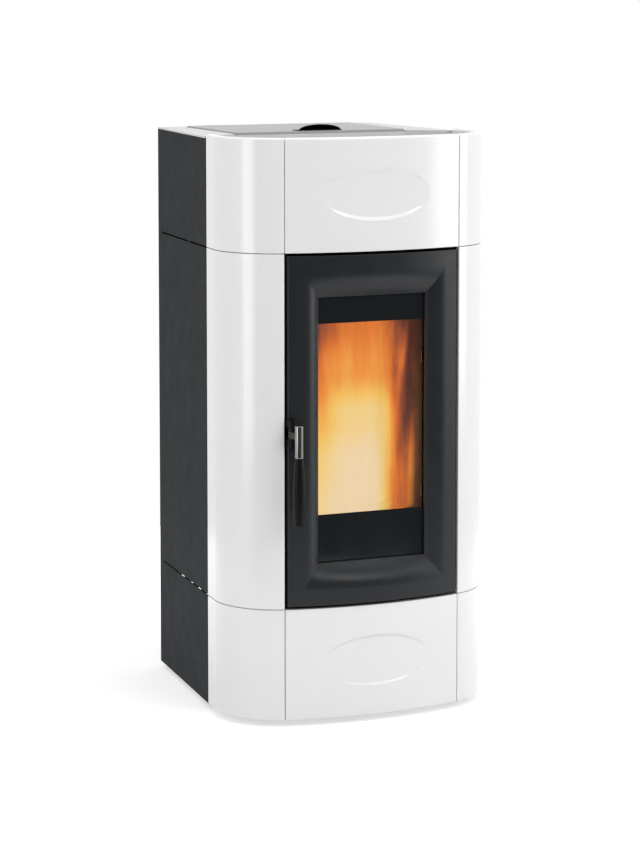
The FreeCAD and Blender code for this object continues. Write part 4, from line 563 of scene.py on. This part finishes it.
# The clear pane, and how far left and up it a thing behind it seems to shift for each metre of depth
PANE_HALF, PANE_DEPTH = 0.1115, 0.035
VIEW_SLOPE, VIEW_DROP = 0.43, 0.152
SHEETS = ((0.09, 0.50), (0.14, 0.60), (0.19, 0.75), (0.24, 0.85), (0.28, 0.95))
FIRST_SEED = 11


def blend_row(v, rows):
    for (v0, a), (v1, b) in zip(rows, rows[1:]):
        if v <= v1:
            t = smooth((v - v0) / (v1 - v0))
            return [p + (q - p) * t for p, q in zip(a, b)]
    return list(rows[-1][1])


# Heat across the pane at five heights: left edge, peak and right edge of the main flame, then how hot its
# left side and its middle are
FIRE_ROWS = [(0.0, (-0.10, 0.34, 0.82, 0.80, 1.00)), (0.25, (-0.12, 0.36, 0.82, 0.64, 1.00)),
             (0.5, (-0.14, 0.40, 0.86, 0.50, 0.84)), (0.75, (-0.16, 0.42, 0.88, 0.36, 0.56)),
             (1.0, (-0.10, 0.46, 0.88, 0.18, 0.42))]
LEFT_FADE, RISE, FALL_FROM, FALL_OVER = 0.16, 1.25, 0.35, 0.85
# The hot tongue at the right edge is painted firelight: a flame glow put in place of the lit right wall of
# the firebox. The thin lick above it is flame. Each: heat, place across, lean with the height and width
PAINTED_WALL_GLOW, PAINTED_WALL_GLOW_END, PAINTED_WALL_GLOW_TALL = (0.66, 1.02, 0.06, 0.26), 1.35, 0.52
LICK, LICK_UPRIGHT, LICK_MIDDLE, LICK_TALL = (0.20, 0.80, 0.12, 0.03), 0.7, 0.78, 0.16
COOLEST, SHARED_HEAT = 0.10, 0.3


def hump(value, wide):
    return math.exp(-(value / wide) ** 2)


def fire_heat(u, v):
    left, peak, right, side, top = blend_row(clamp(v), FIRE_ROWS)
    if u < peak:
        t = smooth((u - left) / (peak - left) * RISE)
        hot = side * smooth((u + LEFT_FADE) / LEFT_FADE) + (top - side) * t
    else:
        t = (u - peak) / (right - peak)
        hot = top * (1 - smooth((t - FALL_FROM) / FALL_OVER))
    # Painted firelight: the glow of the lit right wall, drawn as a hot tongue of flame at the pane's right
    # edge
    heat, place, lean, wide = PAINTED_WALL_GLOW
    painted_wall_glow = heat * hump(u - place - lean * v, wide) * smooth(PAINTED_WALL_GLOW_END - v / PAINTED_WALL_GLOW_TALL)
    heat, place, lean, wide = LICK
    lick = heat * hump(u - place - lean * (v - LICK_UPRIGHT), wide) * hump(v - LICK_MIDDLE, LICK_TALL)
    return max(COOLEST, min(1.0, max(hot, painted_wall_glow) + SHARED_HEAT * min(hot, painted_wall_glow) + lick))


SIDE_SOFT, TOP_SOFT, FOOT_SOFT = 0.10, 0.06, 0.02
FOOT_THICK, FOOT_TALL = 0.95, 0.14
# Towards the right the sheets grow dense: partly flame, partly painted glow of the firelit right wall
RIGHT_FLAME_AND_GLOW_THICK, RIGHT_FLAME_AND_GLOW_FROM, RIGHT_FLAME_AND_GLOW_OVER = 0.9, 0.5, 0.25
COLD_COVER, COLD_BELOW = 0.45, 0.3


def flame_cover(u, v, across, hot, strength):
    """How dense a sheet is: soft at its edges, thick at its foot and towards the right, where the dense
    flame is partly flame and partly the painted glow of the firelit right wall.
    """
    edge = smooth((1 - abs(u)) / SIDE_SOFT) * smooth((1 - v) / TOP_SOFT) * smooth(v / FOOT_SOFT)
    thick = strength + (FOOT_THICK - strength) * smooth(1 - v / FOOT_TALL)
    thick = max(thick, RIGHT_FLAME_AND_GLOW_THICK * smooth((across - RIGHT_FLAME_AND_GLOW_FROM) / RIGHT_FLAME_AND_GLOW_OVER))
    return edge * thick * (COLD_COVER + (1 - COLD_COVER) * smooth(hot / COLD_BELOW))


def flame_sheet(name, depth, seed, strength):
    rnd = random.Random(seed)
    waves = [tuple(rnd.uniform(*limits) for limits in WAVE_LIMITS) for _ in range(WAVE_COUNT)]
    z_low = Z_FOOT if abs(depth - POT_DEPTH) > POT_REACH else Z_POT_FOOT
    behind = depth - PANE_DEPTH
    verts, faces, warmth, cover = [], [], [], []
    for k in range(FLAME_ROWS + 1):
        v = k / FLAME_ROWS
        z = z_low + (Z_TOP - z_low) * v
        wide = FOOT_HALF + (FLAME_HALF - FOOT_HALF) * smooth((z - Z_POT_FOOT) / FOOT_RISE)
        for i in range(FLAME_COLS + 1):
            u = -1 + 2 * i / FLAME_COLS
            x = wide * u
            sway = sum(a * math.sin(f * u * 2 + p + WAVE_CLIMB * v) for f, p, a in waves)
            y = depth + FLAME_BOW * u * u + sway
            verts.append((x, y + FRONT, z))
            across = (x - behind * VIEW_SLOPE + PANE_HALF) / (2 * PANE_HALF)
            up = (z + behind * VIEW_DROP - BAND_LOW) / (BAND_HIGH - BAND_LOW)
            hot = fire_heat(across, up)
            warmth.append(hot)
            cover.append(flame_cover(u, v, across, hot, strength))
    for k in range(FLAME_ROWS):
        for i in range(FLAME_COLS):
            a = k * (FLAME_COLS + 1) + i
            faces.append((a, a + 1, a + FLAME_COLS + 2, a + FLAME_COLS + 1))
    ob = mesh_piece(name, verts, faces, flame, "casing")
    for key, values in (("warmth", warmth), ("cover", cover)):
        attr = ob.data.attributes.new(key, "FLOAT", "POINT")
        attr.data.foreach_set("value", values)
    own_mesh(ob)


for number, (depth, strength) in enumerate(SHEETS):
    flame_sheet("flame_%d" % (number + 1), depth, FIRST_SEED + number, strength)


# Embers in the burner pot
EMBER_COLOURS = [(0.35, (0.02, 0.004, 0.001)), (0.5, (0.8, 0.12, 0.01)), (0.62, (1.0, 0.45, 0.08)),
                 (0.75, (1.0, 0.8, 0.4))]
PELLET_RADIUS, PELLET_SHORT, PELLET_LONG, PELLET_SIDES = 0.0029, 0.006, 0.011, 8
PELLET_END, PELLET_RIM, PELLET_TILT = 0.8, 0.9, 0.35
HEAP_COUNT, HEAP_HALF, HEAP_LOW, HEAP_HIGH = 170, (0.026, 0.022), 0.010, 0.036
HEAP_ROUND, HEAP_SEED = 0.5, 5


def ember_material():
    mat, tree, bsdf = shader("glowing_pellets", (0.06, 0.04, 0.03), 0.9, Emission_Strength=1.0)
    vector = stretched(tree)
    glow = noise(tree, vector, 160, 4, 0.6)
    tree.links.new(ramp(tree, glow, EMBER_COLOURS), bsdf.inputs["Emission Color"])
    grain(tree, bsdf, vector, 500, 0.6, 0.001)
    return mat


def rod(verts, faces, place, axis, length):
    """One short rod with its rims taken off, added to the lists."""
    sides = PELLET_SIDES
    a = axis.orthogonal().normalized()
    b = axis.cross(a)
    base = len(verts)
    for end in (-1, 1):
        for r, reach in ((PELLET_RADIUS * PELLET_END, 1.0), (PELLET_RADIUS, PELLET_RIM)):
            for k in range(sides):
                t = math.pi * 2 * k / sides
                out = (a * math.cos(t) + b * math.sin(t)) * r
                verts.append(tuple(place + axis * (end * reach * length / 2) + out))
    rings = [base, base + sides, base + 3 * sides, base + 2 * sides]
    faces.append(tuple(reversed(range(rings[0], rings[0] + sides))))
    for q, s in zip(rings, rings[1:]):
        for k in range(sides):
            m = (k + 1) % sides
            faces.append((q + k, q + m, s + m, s + k))
    faces.append(tuple(range(rings[-1], rings[-1] + sides)))


def pellet_heap(name, pot, mat, body):
    """Many short rods dropped in a heap, as one mesh."""
    low, high = pot
    centre = ((low.x + high.x) / 2, (low.y + high.y) / 2)
    z_low, z_high = low.z + HEAP_LOW, low.z + HEAP_HIGH
    rnd = random.Random(HEAP_SEED)
    verts, faces = [], []
    for _ in range(HEAP_COUNT):
        u, w = rnd.uniform(-1, 1), rnd.uniform(-1, 1)
        top = z_high - (z_high - z_low) * HEAP_ROUND * (u * u + w * w)
        place = Vector((centre[0] + u * HEAP_HALF[0], centre[1] + w * HEAP_HALF[1], rnd.uniform(z_low, top)))
        length = rnd.uniform(PELLET_SHORT, PELLET_LONG)
        axis = Vector((rnd.gauss(0, 1), rnd.gauss(0, 1), rnd.gauss(0, PELLET_TILT))).normalized()
        rod(verts, faces, place, axis, length)
    mesh_piece(name, verts, faces, mat, body)


pellet_heap("embers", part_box("burner_pot"), ember_material(), "fire_pot")


# Floor, light and camera
FLOOR_RADIUS, FLOOR_SIDES, FLOOR_COLOUR = 1.7, 72, (0.68, 0.68, 0.68)
FLOOR_GLOW_FROM, FLOOR_GLOW_TO = (0.45, 0.50), (1.6, 1.0)
WORLD_LIGHT = 0.65
# In reflections the studio is dim in front of the object. It is white everywhere else
DIM_TOWARD, DIM_LEVEL, DIM_FROM, DIM_TO = math.radians(-14), 0.12, 0.42, 0.66
MIDDLE, UPPER = (0, 0, 0.6), (0, 0, 0.8)
# Name, place, what it points at, width, height and power of each soft lamp
AREA_LAMPS = [("strip_left", (-2.9, -1.05, 1.2), MIDDLE, 1.1, 2.4, 20),
              ("soft_right", (2.9, -1.85, 1.3), MIDDLE, 1.7, 2.4, 33),
              ("overhead", (0, -0.3, 3.6), MIDDLE, 3.0, 2.4, 36),
              ("front_fill", (1.1, -3.6, 2.6), UPPER, 1.6, 1.2, 29)]
GLOW_LAMPS = [("fire_glow_low", (0.0, FRONT + 0.15, 0.47), 1.2),
              ("fire_glow_high", (-0.03, FRONT + 0.18, 0.66), 1.0)]
GLOW_SIZE, GLOW_COLOUR = 0.04, (1.0, 0.52, 0.2)
FILM, FOCAL, SHIFT, LONG = 36.0, 2803.3, 172.0, 860.0
CAMERA_PLACE = (-2.183, -5.085, 1.421)
CAMERA_TURN = (math.radians(90 - 5.728), 0, math.radians(-23.274))
CAMERA_REACH = (0.05, 60)


def seen_by_eye(tree):
    """1 for camera, glossy and transmission rays, 0 for the light that falls on the object."""
    rays = put(tree, "ShaderNodeLightPath").outputs
    first = combined(tree, "MAXIMUM", rays["Is Camera Ray"], rays["Is Glossy Ray"])
    return combined(tree, "MAXIMUM", first, rays["Is Transmission Ray"])


def studio_level(tree):
    toward = put(tree, "ShaderNodeTexCoord")
    front = put(tree, "ShaderNodeVectorMath", operation="DOT_PRODUCT")
    front.inputs[1].default_value = (math.sin(DIM_TOWARD), -math.cos(DIM_TOWARD), 0)
    tree.links.new(toward.outputs["Generated"], front.inputs[0])
    level = span(tree, front.outputs["Value"], DIM_FROM, DIM_TO, 1.0, DIM_LEVEL)
    camera = put(tree, "ShaderNodeLightPath").outputs["Is Camera Ray"]
    return combined(tree, "MAXIMUM", camera, level)


def link_new(name, data):
    ob = bpy.data.objects.new(name, data)
    bpy.context.scene.collection.objects.link(ob)
    return ob


def make_floor():
    turns = [2 * math.pi * k / FLOOR_SIDES for k in range(FLOOR_SIDES)]
    rim = [(FLOOR_RADIUS * math.cos(a), FLOOR_RADIUS * math.sin(a), 0) for a in turns]
    me = bpy.data.meshes.new("floor")
    me.from_pydata(rim, [], [tuple(range(FLOOR_SIDES))])
    ob = link_new("floor", me)
    mat, tree, bsdf = shader("pale_floor", FLOOR_COLOUR, 0.9, Specular_IOR_Level=0.1)
    vector = stretched(tree)
    tint(tree, bsdf, FLOOR_COLOUR, vector, 3, 0.006)
    bsdf.inputs["Emission Color"].default_value = (1, 1, 1, 1)
    far = put(tree, "ShaderNodeVectorMath", operation="LENGTH")
    tree.links.new(vector, far.inputs[0])
    (near, dim), (away, full) = FLOOR_GLOW_FROM, FLOOR_GLOW_TO
    glow = span(tree, far.outputs["Value"], near, away, dim, full)
    lift = combined(tree, "MULTIPLY", glow, seen_by_eye(tree))
    tree.links.new(lift, bsdf.inputs["Emission Strength"])
    me.materials.append(mat)


def make_world():
    world = bpy.data.worlds.new("studio")
    bpy.context.scene.world = world
    world.use_nodes = True
    tree = world.node_tree
    tree.nodes.clear()
    out = put(tree, "ShaderNodeOutputWorld")
    plain = put(tree, "ShaderNodeBackground", Color=(1, 1, 1, 1), Strength=WORLD_LIGHT)
    white = put(tree, "ShaderNodeBackground", Color=(1, 1, 1, 1))
    tree.links.new(studio_level(tree), white.inputs["Strength"])
    mix = put(tree, "ShaderNodeMixShader")
    for source, target in zip((seen_by_eye(tree), plain.outputs[0], white.outputs[0]), mix.inputs):
        tree.links.new(source, target)
    tree.links.new(mix.outputs[0], out.inputs[0])


def make_lamps():
    for name, place, target, size_x, size_y, power in AREA_LAMPS:
        light = bpy.data.lights.new(name, "AREA")
        light.shape = "RECTANGLE"
        light.size, light.size_y = size_x, size_y
        light.energy = power
        ob = link_new(name, light)
        ob.location = place
        ob.rotation_euler = (Vector(target) - Vector(place)).to_track_quat("-Z", "Y").to_euler()
        ob.visible_camera = False
    for name, place, power in GLOW_LAMPS:
        light = bpy.data.lights.new(name, "POINT")
        light.energy = power
        light.shadow_soft_size = GLOW_SIZE
        light.color = GLOW_COLOUR
        ob = link_new(name, light)
        ob.location = place
        ob.visible_camera = ob.visible_glossy = ob.visible_transmission = False


def make_camera():
    lens = bpy.data.cameras.new("camera")
    lens.sensor_width = FILM
    lens.lens = FOCAL / LONG * FILM
    lens.shift_y = -SHIFT / LONG
    lens.clip_start, lens.clip_end = CAMERA_REACH
    camera = link_new("camera", lens)
    camera.location = CAMERA_PLACE
    camera.rotation_euler = CAMERA_TURN
    bpy.context.scene.camera = camera


make_floor()
make_world()
make_lamps()
make_camera()
bpy.context.scene.view_settings.view_transform = "Standard"
